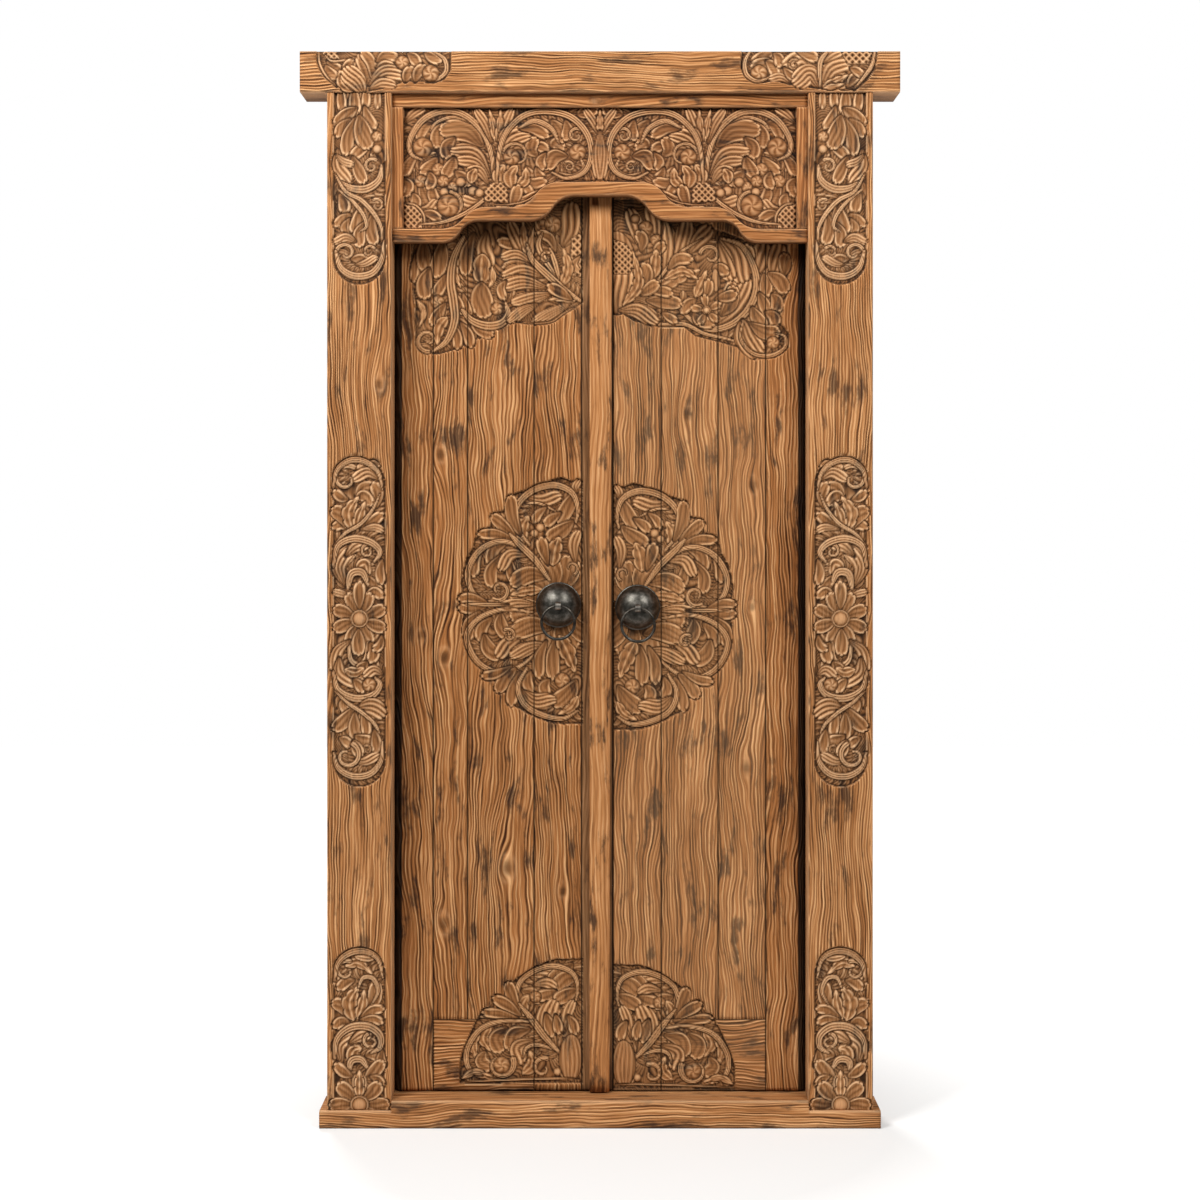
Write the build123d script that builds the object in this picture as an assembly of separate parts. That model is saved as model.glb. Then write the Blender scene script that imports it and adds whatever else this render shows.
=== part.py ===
"""Carved teak double door in its frame: posts, lintel, sill, arched pelmet and two pin-hung leaves.

Millimetres. X runs across the doorway, Y from the front to the back, Z up.
The origin is the middle of the sill's underside.
"""
from build123d import *

import os
from math import cos, radians, sin

# Frame
door_height = 2200.0
frame_width = 1116.0
post_width = 132.0
post_depth = 100.0
lintel_length = 1226.0
lintel_height = 84.0
lintel_proud = 4.0
sill_length = 1146.0
sill_height = 56.0
sill_end_height = 36.0
sill_proud = 8.0
tenon_width = 62.0
tenon_depth = 34.0
tenon_length = 24.0
joint_clearance = 0.2
overrun = 5.0

# Leaves and the rebate they close in
leaf_setback = 66.0
leaf_thickness = 34.0
leaf_foot_gap = 3.0
leaf_head_gap = 6.0
heel_gap = 4.0
rebate_lap = 3.0
lip_gap = 2.0
meeting_edge = 26.2
meeting_gap = 1.2
board_gap = 0.6
pin_radius = 11.0
pin_reach = 30.0
pin_clearance = 0.4
pin_bearing_gap = 0.3
pin_lift = 34.0
left_joint_shares = (0.1828, 0.3394, 0.6419, 0.8585)
right_joint_shares = (0.2126, 0.4582, 0.752)
rail_height = 147.0

# Bar over the meeting edge
bar_width = 47.0
bar_foot_width = 41.0
bar_edge_space = 0.8
bar_proud = 14.0
bar_bevel = 5.0
bar_notch_inset = 5.0
bar_notch_width = 13.0
bar_notch_height = 26.0
bar_notch_drop = 14.0

# Dovetail ledges across the backs
ledge_width = 70.0
ledge_flare = 4.0
ledge_sunk = 10.0
ledge_proud = 14.0
ledge_heel_space = 34.0
ledge_edge_space = 12.0
ledge_place_shares = (0.10, 0.44, 0.86)

# Arched pelmet: a rim of four rails round a carved panel
pelmet_setback = 12.0
pelmet_thickness = 36.0
pelmet_height = 304.0
pelmet_rim = 27.0
pelmet_stile = 22.0
arch_middle_rise = 45.0
arch_centre_rise = 96.0
arch_lower_shares = (0.764, 0.587, 0.341, 0.120)
arch_upper_shares = (0.764, 0.548, 0.423, 0.197)
panel_setback = 9.0
panel_thickness = 22.0
panel_lap = 8.0

# Carving
carving_depth = 7.0
groove_width = 4.0
post_field_margin = 13.0
post_top_field = 392.0
post_middle_field = 672.0
post_middle_height = 1033.0
post_bottom_field = 332.0
lintel_field = 276.0
lintel_field_inset = 36.0
lintel_field_drop = 60.0
medallion_reach = 257.0
medallion_height = 1066.0
corner_reach = 258.0
corner_base = 14.0
spandrel_reach = 348.0
spandrel_height = 1690.0
right_carving_drop = 12.0

# Chisel strokes, beads, flowers and lobes
stroke_shares = (0.3, 0.7)
stroke_lift_share = 0.9
stroke_turn = 32
bead_sides = 8
lobe_sides = 12
flower_bead_share = 0.36
petal_base_share = 0.44
petal_bow_share = 0.30
lobe_rim_share = 0.16
lobe_heart_share = 0.16
lobe_heart_turn = 90
lobe_bead_share = 0.22
lobe_opening = 35
lobe_sweep = 290
lobe_leaf_turns = (110, 230)
lobe_leaf_outer_share = 0.76
lobe_leaf_inner_share = 0.42
lobe_leaf_lean = 25
lobe_leaf_bow_share = 0.32
lobed_core_share = 0.78

# Ring pulls
boss_radius = 47.0
boss_height = 40.0
boss_wall = 3.0
boss_rim = 3.0
boss_crown = 6.0
boss_shoulder = 9.0
boss_seat_margin = 9.0
left_pull_place = -86.0
right_pull_place = 78.0
right_pull_drop = 5.0
eye_width = 11.0
eye_wall = 3.6
eye_bore = 4.4
shank_radius = 4.0
shank_clearance = 0.2
ring_radius = 34.0
ring_wire = 3.0
ring_sag = 0.5
washer_side = 34.0
washer_thickness = 3.0
clench_length = 26.0
clench_thickness = 5.0

# Places that follow from the sizes
post_front = -post_depth / 2
post_back = post_depth / 2
post_outer = frame_width / 2
post_inner = post_outer - post_width
lintel_under = door_height - lintel_height
leaf_front = post_front + leaf_setback
leaf_back = leaf_front + leaf_thickness
heel_radius = leaf_thickness / 2
heel_edge = post_inner + rebate_lap
pin_axis = heel_edge - heel_radius
pin_depth = leaf_front + heel_radius
leaf_foot = sill_height + leaf_foot_gap
leaf_head = lintel_under - leaf_head_gap
leaf_height = leaf_head - leaf_foot
right_edge = meeting_edge + meeting_gap
stile_edge = left_joint_shares[-1] * (heel_edge + meeting_edge) - heel_edge
pelmet_front = post_front + pelmet_setback
pelmet_foot = lintel_under - pelmet_height
bar_notch_foot = pelmet_foot + arch_centre_rise - bar_notch_drop
panel_front = pelmet_front + panel_setback


def block(x_span, y_span, z_span):
    """A squared timber between the given spans."""
    sides = [span[1] - span[0] for span in (x_span, y_span, z_span)]
    middle = [(span[0] + span[1]) / 2 for span in (x_span, y_span, z_span)]
    return Pos(*middle) * Box(*sides)


def rod(radius, x, y, z_span):
    """An upright round bar between two heights."""
    middle = (z_span[0] + z_span[1]) / 2
    return Pos(x, y, middle) * Cylinder(radius, z_span[1] - z_span[0])


def front_plane(x, y, z):
    """A drawing plane that faces the viewer, with its origin at the given place."""
    return Plane(origin=(x, y, z), x_dir=(1, 0, 0), z_dir=(0, -1, 0))


def polar(centre, radius, angle):
    """The point at an angle, in degrees, on a circle."""
    return (centre[0] + radius * cos(radians(angle)), centre[1] + radius * sin(radians(angle)))


def leaf_shape(base, tip, first_bow, second_bow):
    """A carved leaf, three chisel strokes a side, each side bowed to the left by a share of its length."""
    run = (tip[0] - base[0], tip[1] - base[1])

    def stroke(part, bow):
        lift = bow * stroke_lift_share
        return (base[0] + run[0] * part - run[1] * lift, base[1] + run[1] * part + run[0] * lift)

    first = [stroke(part, first_bow) for part in stroke_shares]
    second = [stroke(part, second_bow) for part in reversed(stroke_shares)]
    return make_face(Polyline(base, *first, tip, *second, close=True))


def curl_shape(centre, radius, start, sweep, width):
    """A scroll's stem: a band bent round a centre, its edges cut in short chisel strokes."""
    strokes = max(round(abs(sweep) / stroke_turn), 1)
    turns = [start + sweep * number / strokes for number in range(strokes + 1)]
    outer = [polar(centre, radius + width / 2, turn) for turn in turns]
    inner = [polar(centre, radius - width / 2, turn) for turn in reversed(turns)]
    return make_face(Polyline(*outer, *inner, close=True))


def motifs(shares, unit):
    """The raised shapes of a carved field, from a table in shares of the field's unit.

    A bead has a middle and a radius. A curl has a middle, a radius, two angles and a width.
    A leaf has a base, a tip and how far each side bows.
    """
    shapes = []
    for kind, u, v, *row in shares:
        place = (u * unit, v * unit)
        if kind == "bead":
            shapes.append(Pos(*place) * RegularPolygon(row[0] * unit, bead_sides))
        elif kind == "curl":
            radius, start, sweep, width = row
            shapes.append(curl_shape(place, radius * unit, start, sweep, width * unit))
        else:
            tip_u, tip_v, first_bow, second_bow = row
            shapes.append(leaf_shape(place, (tip_u * unit, tip_v * unit), first_bow, second_bow))
    return shapes


def flower(u, v, reach, petals, first, turn):
    """Rows for a flower: a bead with leaves set round it, as shares."""
    rows = [("bead", u, v, reach * flower_bead_share)]
    for number in range(petals):
        angle = first + number * turn
        base = polar((u, v), reach * petal_base_share, angle)
        tip = polar((u, v), reach, angle)
        rows.append(("leaf", *base, *tip, petal_bow_share, -petal_bow_share))
    return rows


def lobe(u, v, reach, root):
    """Rows for a scrolled lobe whose stem rises at the root angle, as shares."""
    heart = polar((u, v), reach * lobe_heart_share, root + lobe_heart_turn)
    rim = reach * (1 - lobe_rim_share / 2)
    rows = [("curl", u, v, rim, root + lobe_opening, lobe_sweep, reach * lobe_rim_share)]
    rows.append(("bead", *heart, reach * lobe_bead_share))
    for turn in lobe_leaf_turns:
        base = polar((u, v), reach * lobe_leaf_outer_share, root + turn)
        tip = polar((u, v), reach * lobe_leaf_inner_share, root + turn + lobe_leaf_lean)
        rows.append(("leaf", *base, *tip, lobe_leaf_bow_share, -lobe_leaf_bow_share))
    return rows


# Carved fields, in shares of half the field's width, from the field's middle (or its lower end)
post_flower_shares = flower(0.0, 0.0, 0.92, 8, 22.5, 45)
post_scroll_shares = [
    ("curl", -0.12, 5.35, 0.72, -25, 225, 0.2),
    ("bead", -0.42, 5.28, 0.24),
    ("leaf", -0.62, 3.55, 0.15, 4.75, 0.30, -0.12),
    ("leaf", -0.58, 3.4, 0.7, 4.6, 0.05, -0.28),
    ("curl", 0.12, 2.72, 0.68, 30, 215, 0.2),
    ("bead", 0.36, 2.72, 0.22),
    ("leaf", -0.1, 1.3, 0.1, 2.3, 0.30, -0.30),
]
post_top_shares = [
    ("leaf", -0.5, 7.4, -0.45, 6.65, 0.28, -0.28),
    ("leaf", 0.05, 7.4, 0.08, 6.6, 0.26, -0.26),
    ("leaf", 0.62, 7.4, 0.6, 6.7, 0.28, -0.28),
    ("leaf", -0.6, 6.3, -0.35, 4.95, -0.06, 0.34),
    ("bead", 0.26, 5.75, 0.46),
    ("bead", 0.5, 4.42, 0.28),
    ("curl", 0.05, 4.3, 0.8, 175, 160, 0.18),
    ("leaf", -0.86, 3.7, 0.86, 2.3, 0.24, 0.10),
    ("leaf", -0.1, 3.0, 0.3, 1.75, 0.45, 0.1),
    ("curl", 0.0, 0.98, 0.76, 165, 195, 0.18),
    ("bead", -0.40, 1.2, 0.28),
]
post_bottom_shares = [
    *flower(0.0, 0.02, 0.95, 5, 0, 45),
    ("curl", 0.0, 5.1, 0.76, -25, 220, 0.18),
    ("bead", -0.42, 5.0, 0.26),
    ("leaf", -0.12, 3.3, -0.2, 4.45, 0.34, -0.12),
    ("leaf", 0.05, 3.3, 0.62, 4.75, 0.08, -0.40),
    ("curl", 0.04, 2.32, 0.74, 25, 230, 0.18),
    ("bead", 0.38, 2.4, 0.24),
    ("leaf", -0.4, 1.2, -0.1, 2.3, 0.36, 0.06),
]
# Lintel ends, in shares of the field's length from its outer end
lintel_shares = [
    ("leaf", 0.13, -0.10, 0.13, 0.10, 0.30, -0.30),
    ("leaf", 0.12, -0.10, 0.02, 0.08, 0.10, -0.30),
    ("leaf", 0.14, -0.10, 0.25, 0.08, 0.30, -0.10),
    ("bead", 0.33, 0.06, 0.036),
    ("leaf", 0.26, -0.04, 0.52, -0.03, 0.16, -0.06),
    ("leaf", 0.45, 0.07, 0.66, 0.09, 0.06, -0.16),
    ("curl", 0.80, 0.0, 0.088, -120, 250, 0.03),
    ("bead", 0.80, 0.0, 0.035),
]
# Pelmet panel's left half, in shares of the rim's inner half width
pelmet_shares = [
    ("curl", -0.715, -0.03, 0.185, -60, 250, 0.035),
    ("bead", -0.72, 0.03, 0.055),
    ("leaf", -0.54, -0.16, -0.62, 0.10, 0.20, -0.22),
    ("leaf", -0.57, -0.17, -0.74, -0.06, 0.1, -0.34),
    ("bead", -0.82, -0.16, 0.055),
    ("bead", -0.76, -0.30, 0.060),
    ("leaf", -0.50, -0.14, -0.52, 0.19, 0.06, -0.06),
    ("leaf", -0.50, 0.04, -0.43, 0.20, 0.22, -0.14),
    ("curl", -0.25, 0.0, 0.195, 10, 170, 0.035),
    ("curl", -0.14, -0.05, 0.115, -150, 190, 0.030),
    ("leaf", -0.46, -0.06, -0.36, 0.11, -0.10, 0.34),
    ("leaf", -0.42, -0.12, -0.28, 0.02, 0.10, -0.36),
]
pelmet_middle_shares = [
    ("leaf", 0.0, -0.12, 0.0, 0.17, 0.11, -0.11),
]
# Medallion's left half and the bottom corner, in shares of the reach from their middle
medallion_lobe_shares = (
    (-0.27, 0.755, 0.262, -62),
    (-0.715, 0.257, 0.270, -20),
    (-0.645, -0.270, 0.270, 25),
    (-0.245, -0.690, 0.270, 70),
)
medallion_leaf_shares = [
    ("leaf", -0.30, 0.30, -0.60, 0.60, 0.09, -0.09),
    ("leaf", -0.46, 0.44, -0.72, 0.60, 0.12, -0.24),
    ("leaf", -0.42, -0.01, -0.92, -0.01, 0.06, -0.06),
    ("leaf", -0.26, -0.26, -0.50, -0.60, 0.10, -0.10),
    ("leaf", -0.40, -0.46, -0.66, -0.72, 0.22, -0.10),
    ("leaf", -0.10, 0.26, -0.06, 0.46, 0.16, -0.16),
]
corner_lobe_shares = (
    (-0.275, 0.66, 0.262, -62),
    (-0.660, 0.275, 0.270, -20),
)
corner_leaf_shares = [
    ("leaf", -0.09, 0.02, -0.09, 0.32, 0.24, -0.24),
    ("leaf", -0.20, 0.22, -0.52, 0.54, 0.10, -0.10),
    ("leaf", -0.38, 0.42, -0.64, 0.60, 0.10, -0.24),
    ("leaf", -0.18, 0.14, -0.40, 0.04, 0.26, -0.16),
]
# Spandrel at the head of the left leaf, in shares of its reach from its lower right corner
spandrel_edge_shares = (
    (0.0, 0.0),
    (-0.158, -0.107),
    (-0.253, -0.119),
    (-0.438, -0.125),
    (-0.545, -0.179),
    (-0.688, -0.256),
    (-0.885, -0.298),
    (-0.985, -0.240),
)
spandrel_top_share = 0.66
spandrel_shares = [
    ("leaf", -0.03, 0.03, -0.37, 0.32, 0.05, -0.05),
    ("leaf", -0.20, 0.09, -0.48, 0.14, 0.18, -0.12),
    ("leaf", -0.19, 0.04, -0.37, 0.00, 0.10, -0.26),
    ("leaf", -0.30, 0.27, -0.42, 0.46, 0.22, -0.14),
    ("leaf", -0.12, 0.16, -0.25, 0.43, 0.18, -0.24),
    ("bead", -0.15, 0.50, 0.05),
    ("leaf", -0.54, 0.42, -0.53, 0.24, 0.28, -0.28),
    ("leaf", -0.67, 0.42, -0.66, 0.20, 0.22, -0.22),
    ("curl", -0.56, -0.01, 0.125, 170, 215, 0.036),
    ("bead", -0.53, 0.01, 0.045),
    ("leaf", -0.74, 0.36, -0.78, 0.06, 0.06, -0.14),
    ("leaf", -0.78, 0.04, -0.64, -0.20, -0.24, -0.06),
    ("leaf", -0.86, 0.34, -0.90, 0.20, 0.34, -0.34),
    ("leaf", -0.83, 0.16, -0.94, 0.06, 0.34, -0.34),
    ("curl", -0.88, -0.15, 0.068, -40, 260, 0.028),
]


def cutter(plane, outline, shapes):
    """What the carver takes away: the field sunk round its raised shapes."""
    ground = outline - shapes
    return [extrude(plane * face, amount=-carving_depth) for face in ground.faces()]


def mirrored(shapes):
    """The same shapes on the other side of the doorway."""
    return [mirror(shape, about=Plane.YZ) for shape in shapes]


def carve(timber, cuts):
    """Takes from a timber the cuts that reach it."""
    box = timber.bounding_box()
    for cut in cuts:
        reach = cut.bounding_box()
        apart = (
            reach.min.X >= box.max.X
            or reach.max.X <= box.min.X
            or reach.min.Z >= box.max.Z
            or reach.max.Z <= box.min.Z
        )
        if not apart:
            timber = timber - cut
    return timber


def slot_field(half_width, foot, head, round_foot, round_head):
    """A long field with plain or rounded ends, drawn from its foot to its head."""
    low = foot + half_width if round_foot else foot
    high = head - half_width if round_head else head
    outline = Pos(0, (low + high) / 2) * Rectangle(half_width * 2, high - low)
    if round_foot:
        outline = outline + Pos(0, low) * Circle(half_width)
    if round_head:
        outline = outline + Pos(0, high) * Circle(half_width)
    return outline


def flipped(rows):
    """Rows turned upside down about the field's middle."""
    out = []
    for kind, u, v, *row in rows:
        if kind == "curl":
            radius, start, sweep, width = row
            row = (radius, -start, -sweep, width)
        elif kind == "leaf":
            tip_u, tip_v, first_bow, second_bow = row
            row = (tip_u, -tip_v, -first_bow, -second_bow)
        out.append((kind, u, -v, *row))
    return out


def post_cuts():
    """The left post's three carved fields."""
    unit = post_width / 2 - post_field_margin
    top_foot = lintel_under - post_top_field
    top = slot_field(unit, top_foot, lintel_under + overrun, True, False)
    half = post_middle_field / 2
    middle = slot_field(unit, post_middle_height - half, post_middle_height + half, True, True)
    middle_shares = post_flower_shares + post_scroll_shares + flipped(post_scroll_shares)
    bottom = slot_field(unit, sill_end_height - overrun, sill_end_height + post_bottom_field, False, True)
    fields = [
        (top_foot, top, post_top_shares),
        (post_middle_height, middle, middle_shares),
        (sill_end_height, bottom, post_bottom_shares),
    ]
    plane = front_plane(-post_inner - post_width / 2, post_front, 0)
    cuts = []
    for height, outline, shares in fields:
        cuts += cutter(plane, outline, [Pos(0, height) * shape for shape in motifs(shares, unit)])
    return cuts


def lintel_cuts():
    """The carving on the lintel's left end."""
    middle = lintel_height / 2
    outline = Pos(lintel_field / 2, 0) * Rectangle(lintel_field, lintel_field_drop)
    outer = lintel_field_inset - lintel_length / 2
    plane = front_plane(outer, post_front - lintel_proud, lintel_under + middle)
    return cutter(plane, outline, motifs(lintel_shares, lintel_field))


def lobed_field(lobes, rows, reach):
    """A field's outline and raised shapes, from its lobes and loose leaves."""
    raised = motifs([row for lobe_row in lobes for row in lobe(*lobe_row)] + rows, reach)
    circles = [
        Pos(row[0] * reach, row[1] * reach) * RegularPolygon(row[2] * reach + groove_width, lobe_sides)
        for row in lobes
    ]
    return circles, raised


def leaf_cuts():
    """The left leaf's carving: spandrel, half medallion and bottom corner."""
    past_edge = Pos(frame_width / 2, 0) * Rectangle(frame_width, frame_width)
    past_foot = Pos(0, -frame_width / 2) * Rectangle(frame_width, frame_width)
    plane = front_plane(stile_edge, leaf_front, medallion_height)
    circles, raised = lobed_field(medallion_lobe_shares, medallion_leaf_shares, medallion_reach)
    raised.append(Pos(left_pull_place - stile_edge, 0) * Circle(boss_radius + boss_seat_margin))
    core = Circle(medallion_reach * lobed_core_share)
    cuts = cutter(plane, core + circles - past_edge, raised)
    plane = front_plane(stile_edge, leaf_front, leaf_foot + corner_base)
    circles, raised = lobed_field(corner_lobe_shares, corner_leaf_shares, corner_reach)
    core = Circle(corner_reach * lobed_core_share)
    cuts += cutter(plane, core + circles - past_edge - past_foot, raised)
    plane = front_plane(stile_edge, leaf_front, spandrel_height)
    points = [(u * spandrel_reach, v * spandrel_reach) for u, v in spandrel_edge_shares]
    corner = (points[-1][0], spandrel_top_share * spandrel_reach)
    edges = [
        Spline(*points),
        Line(points[-1], corner),
        Line(corner, (0, corner[1])),
        Line((0, corner[1]), points[0]),
    ]
    cuts += cutter(plane, make_face(edges), motifs(spandrel_shares, spandrel_reach))
    return cuts


def arch_outline(half_width, head, foot, shares):
    """A panel with a stepped ogee arch cut in its lower edge."""
    x = [share * post_inner for share in shares]
    levels = (foot, foot + arch_middle_rise, foot + arch_centre_rise)
    corners = [(-half_width, head), (half_width, head), (half_width, foot)]
    edges = [Line(corners[0], corners[1]), Line(corners[1], corners[2])]
    at = corners[2]
    right = [(x[0], levels[0]), (x[1], levels[1]), (x[2], levels[1]), (x[3], levels[2])]
    stops = right + [(-place, level) for place, level in reversed(right)]
    for number, stop in enumerate(stops):
        if number % 2 == 0:
            edges.append(Line(at, stop))
        else:
            middle = ((at[0] + stop[0]) / 2, (at[1] + stop[1]) / 2)
            edges.append(TangentArc(at, middle, tangent=(-1, 0)))
            edges.append(TangentArc(stop, middle, tangent=(1, 0)))
        at = stop
    edges.append(Line(at, (-half_width, foot)))
    edges.append(Line((-half_width, foot), corners[0]))
    return make_face(edges)


def build_pelmet():
    """The rim's four rails and the carved panel lodged behind them."""
    side = post_inner - joint_clearance
    inner_side = side - pelmet_stile
    head = lintel_under - joint_clearance
    inner_head = head - pelmet_rim
    inner_foot = pelmet_foot + pelmet_rim
    plane = front_plane(0, pelmet_front, 0)
    whole = arch_outline(side, head, pelmet_foot, arch_lower_shares)
    sight = arch_outline(inner_side, inner_head, inner_foot, arch_upper_shares)
    lap_shares = [
        low + (high - low) * (1 - panel_lap / pelmet_rim)
        for low, high in zip(arch_lower_shares, arch_upper_shares)
    ]
    lapped = arch_outline(inner_side + panel_lap, inner_head + panel_lap, inner_foot - panel_lap, lap_shares)
    rim = extrude(plane * (whole - sight), amount=-pelmet_thickness)
    panel_plane = front_plane(0, panel_front, 0)
    rebate = extrude(panel_plane * lapped, amount=-pelmet_thickness)
    rim = rim - rebate
    y_span = (pelmet_front - overrun, pelmet_front + pelmet_thickness + overrun)
    rail_zone = block((-side, side), y_span, (inner_head, head))
    stile_zone = block((-side, -inner_side), y_span, (inner_foot, inner_head))
    top_rail = rim & rail_zone
    left_stile = rim & stile_zone
    right_stile = mirror(left_stile, about=Plane.YZ)
    arch_rail = rim - rail_zone - stile_zone - mirror(stile_zone, about=Plane.YZ)
    panel = extrude(panel_plane * lapped, amount=-panel_thickness)
    middle_height = (inner_head + inner_foot + arch_middle_rise) / 2
    unit = inner_side
    half = motifs(pelmet_shares, unit)
    raised = half + mirrored(half) + motifs(pelmet_middle_shares, unit)
    raised = [Pos(0, middle_height) * shape for shape in raised]
    field = arch_outline(
        inner_side - groove_width, inner_head - groove_width, inner_foot + groove_width, arch_upper_shares
    )
    panel = carve(panel, cutter(panel_plane, field, raised))
    return {
        "pelmet_top_rail": top_rail,
        "pelmet_left_stile": left_stile,
        "pelmet_right_stile": right_stile,
        "pelmet_arch_rail": arch_rail,
        "pelmet_panel": panel,
    }


def build_frame():
    """Sill, posts and lintel, tenoned together."""
    mortise_width = tenon_width + joint_clearance * 2
    mortise_depth = tenon_depth + joint_clearance * 2
    post_middle = post_inner + post_width / 2
    socket = pin_radius + pin_clearance
    sill_y = (post_front - sill_proud, post_back + sill_proud)
    sill = block((-sill_length / 2, sill_length / 2), sill_y, (0, sill_end_height))
    sill = sill + block((-post_inner, post_inner), sill_y, (sill_end_height, sill_height))
    lintel_y = (post_front - lintel_proud, post_back + lintel_proud)
    lintel = block((-lintel_length / 2, lintel_length / 2), lintel_y, (lintel_under, door_height))
    sill_socket_floor = leaf_foot - pin_reach - pin_bearing_gap
    lintel_socket_roof = leaf_head + pin_reach + pin_lift
    for side in (-1, 1):
        x = side * post_middle
        x_span = (x - mortise_width / 2, x + mortise_width / 2)
        y_span = (-mortise_depth / 2, mortise_depth / 2)
        reach = tenon_length + joint_clearance
        sill = sill - block(x_span, y_span, (sill_end_height - reach, sill_end_height + overrun))
        lintel = lintel - block(x_span, y_span, (lintel_under - overrun, lintel_under + reach))
        foot_span = (sill_socket_floor, sill_height + overrun)
        head_span = (lintel_under - overrun, lintel_socket_roof)
        sill = sill - rod(socket, side * pin_axis, pin_depth, foot_span)
        lintel = lintel - rod(socket, side * pin_axis, pin_depth, head_span)
    cuts = lintel_cuts()
    lintel = carve(lintel, cuts + mirrored(cuts))
    post = block((-post_outer, -post_inner), (post_front, post_back), (sill_end_height, lintel_under))
    rebate_x = (-heel_edge - heel_gap, -post_inner + overrun)
    rebate_y = (leaf_front - lip_gap, post_back + overrun)
    post = post - block(rebate_x, rebate_y, (sill_height, lintel_under + overrun))
    tenon_x = (-post_middle - tenon_width / 2, -post_middle + tenon_width / 2)
    tenon_y = (-tenon_depth / 2, tenon_depth / 2)
    tenon_z = (sill_end_height - tenon_length, lintel_under + tenon_length)
    post = post + block(tenon_x, tenon_y, (tenon_z[0], sill_end_height))
    post = post + block(tenon_x, tenon_y, (lintel_under, tenon_z[1]))
    left_post = carve(post, post_cuts())
    right_post = mirror(left_post, about=Plane.YZ)
    return {"sill": sill, "lintel": lintel, "left_post": left_post, "right_post": right_post}


def ledge(x_span, height, play):
    """A dovetailed ledge across the boards, or with play the trench it slides in."""
    half = ledge_width / 2 + play
    flare = half + ledge_flare
    sunk = leaf_back - ledge_sunk - play
    proud = leaf_back + ledge_proud
    outline = [
        (sunk, height - flare),
        (leaf_back, height - half),
        (proud, height - half),
        (proud, height + half),
        (leaf_back, height + half),
        (sunk, height + flare),
    ]
    face = Plane(origin=(x_span[0], 0, 0), x_dir=(0, 1, 0), z_dir=(1, 0, 0)) * make_face(
        Polyline(*outline, close=True)
    )
    return extrude(face, amount=x_span[1] - x_span[0])


def build_leaf(side, name, edge, joint_shares, cuts, pull_x, pull_z):
    """One leaf's timbers. side is -1 for the left leaf; edge is its meeting edge."""
    heel = side * heel_edge
    joints = [heel + (edge - heel) * share for share in joint_shares]
    limits = [side * pin_axis, *joints, edge]
    names = ["hanging_stile"] + [f"board_{number}" for number in range(1, len(joints))]
    names.append("meeting_stile" if side < 0 else f"board_{len(joints)}")
    y_span = (leaf_front, leaf_back)
    rail_head = leaf_foot + rail_height
    ledge_ends = (side * pin_axis - side * ledge_heel_space, edge + side * ledge_edge_space)
    ledge_span = (min(ledge_ends), max(ledge_ends))
    trench_ends = (ledge_ends[0] + side * joint_clearance, edge - side * overrun)
    trench_span = (min(trench_ends), max(trench_ends))
    places = [leaf_foot + leaf_height * share for share in ledge_place_shares]
    trenches = [ledge(trench_span, place, joint_clearance) for place in places]
    hole_plane = front_plane(pull_x, leaf_front - overrun, pull_z)
    nodes = {}
    for number, board_name in enumerate(names):
        ends = sorted((limits[number], limits[number + 1]))
        gaps = [board_gap / 2 if end in joints else 0 for end in ends]
        x_span = (ends[0] + gaps[0], ends[1] - gaps[1])
        foot = rail_head + board_gap if number in (1, 2) else leaf_foot
        timber = block(x_span, y_span, (foot, leaf_head))
        if number == 0:
            axis = (side * pin_axis, pin_depth)
            timber = timber + rod(heel_radius, *axis, (leaf_foot, leaf_head))
            timber = timber + rod(pin_radius, *axis, (leaf_foot - pin_reach, leaf_foot))
            timber = timber + rod(pin_radius, *axis, (leaf_head, leaf_head + pin_reach))
        nodes[f"{name}_{board_name}"] = carve(timber, cuts)
    rail_ends = sorted((joints[0], joints[2]))
    rail_x = (rail_ends[0] + board_gap / 2, rail_ends[1] - board_gap / 2)
    nodes[f"{name}_bottom_rail"] = carve(block(rail_x, y_span, (leaf_foot, rail_head)), cuts)
    hole = Circle(shank_radius + shank_clearance)
    shank_hole = extrude(hole_plane * hole, amount=-leaf_thickness - overrun * 2)
    seated = {}
    for node, timber in nodes.items():
        timber = carve(timber, trenches)
        seated[node] = carve(timber, [shank_hole])
    for place_name, place in zip(("lower", "middle", "upper"), places):
        seated[f"{name}_{place_name}_ledge"] = ledge(ledge_span, place, 0)
    return seated


def build_bar():
    """The moulded bar on the left leaf's meeting stile: narrower at its foot, notched at its head."""
    left = meeting_edge - bar_edge_space - bar_width
    front = leaf_front - bar_proud
    ends = []
    for height, width in ((leaf_foot, bar_foot_width), (leaf_head, bar_width)):
        right = left + width
        outline = [
            (left, leaf_front),
            (left, front),
            (right - bar_bevel, front),
            (right, front + bar_bevel),
            (right, leaf_front),
        ]
        ends.append(Plane(origin=(0, 0, height)) * make_face(Polyline(*outline, close=True)))
    notch_left = left + bar_notch_inset
    notch = block(
        (notch_left, notch_left + bar_notch_width),
        (front - overrun, leaf_front + overrun),
        (bar_notch_foot, bar_notch_foot + bar_notch_height),
    )
    return loft(ends, ruled=True) - notch


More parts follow.
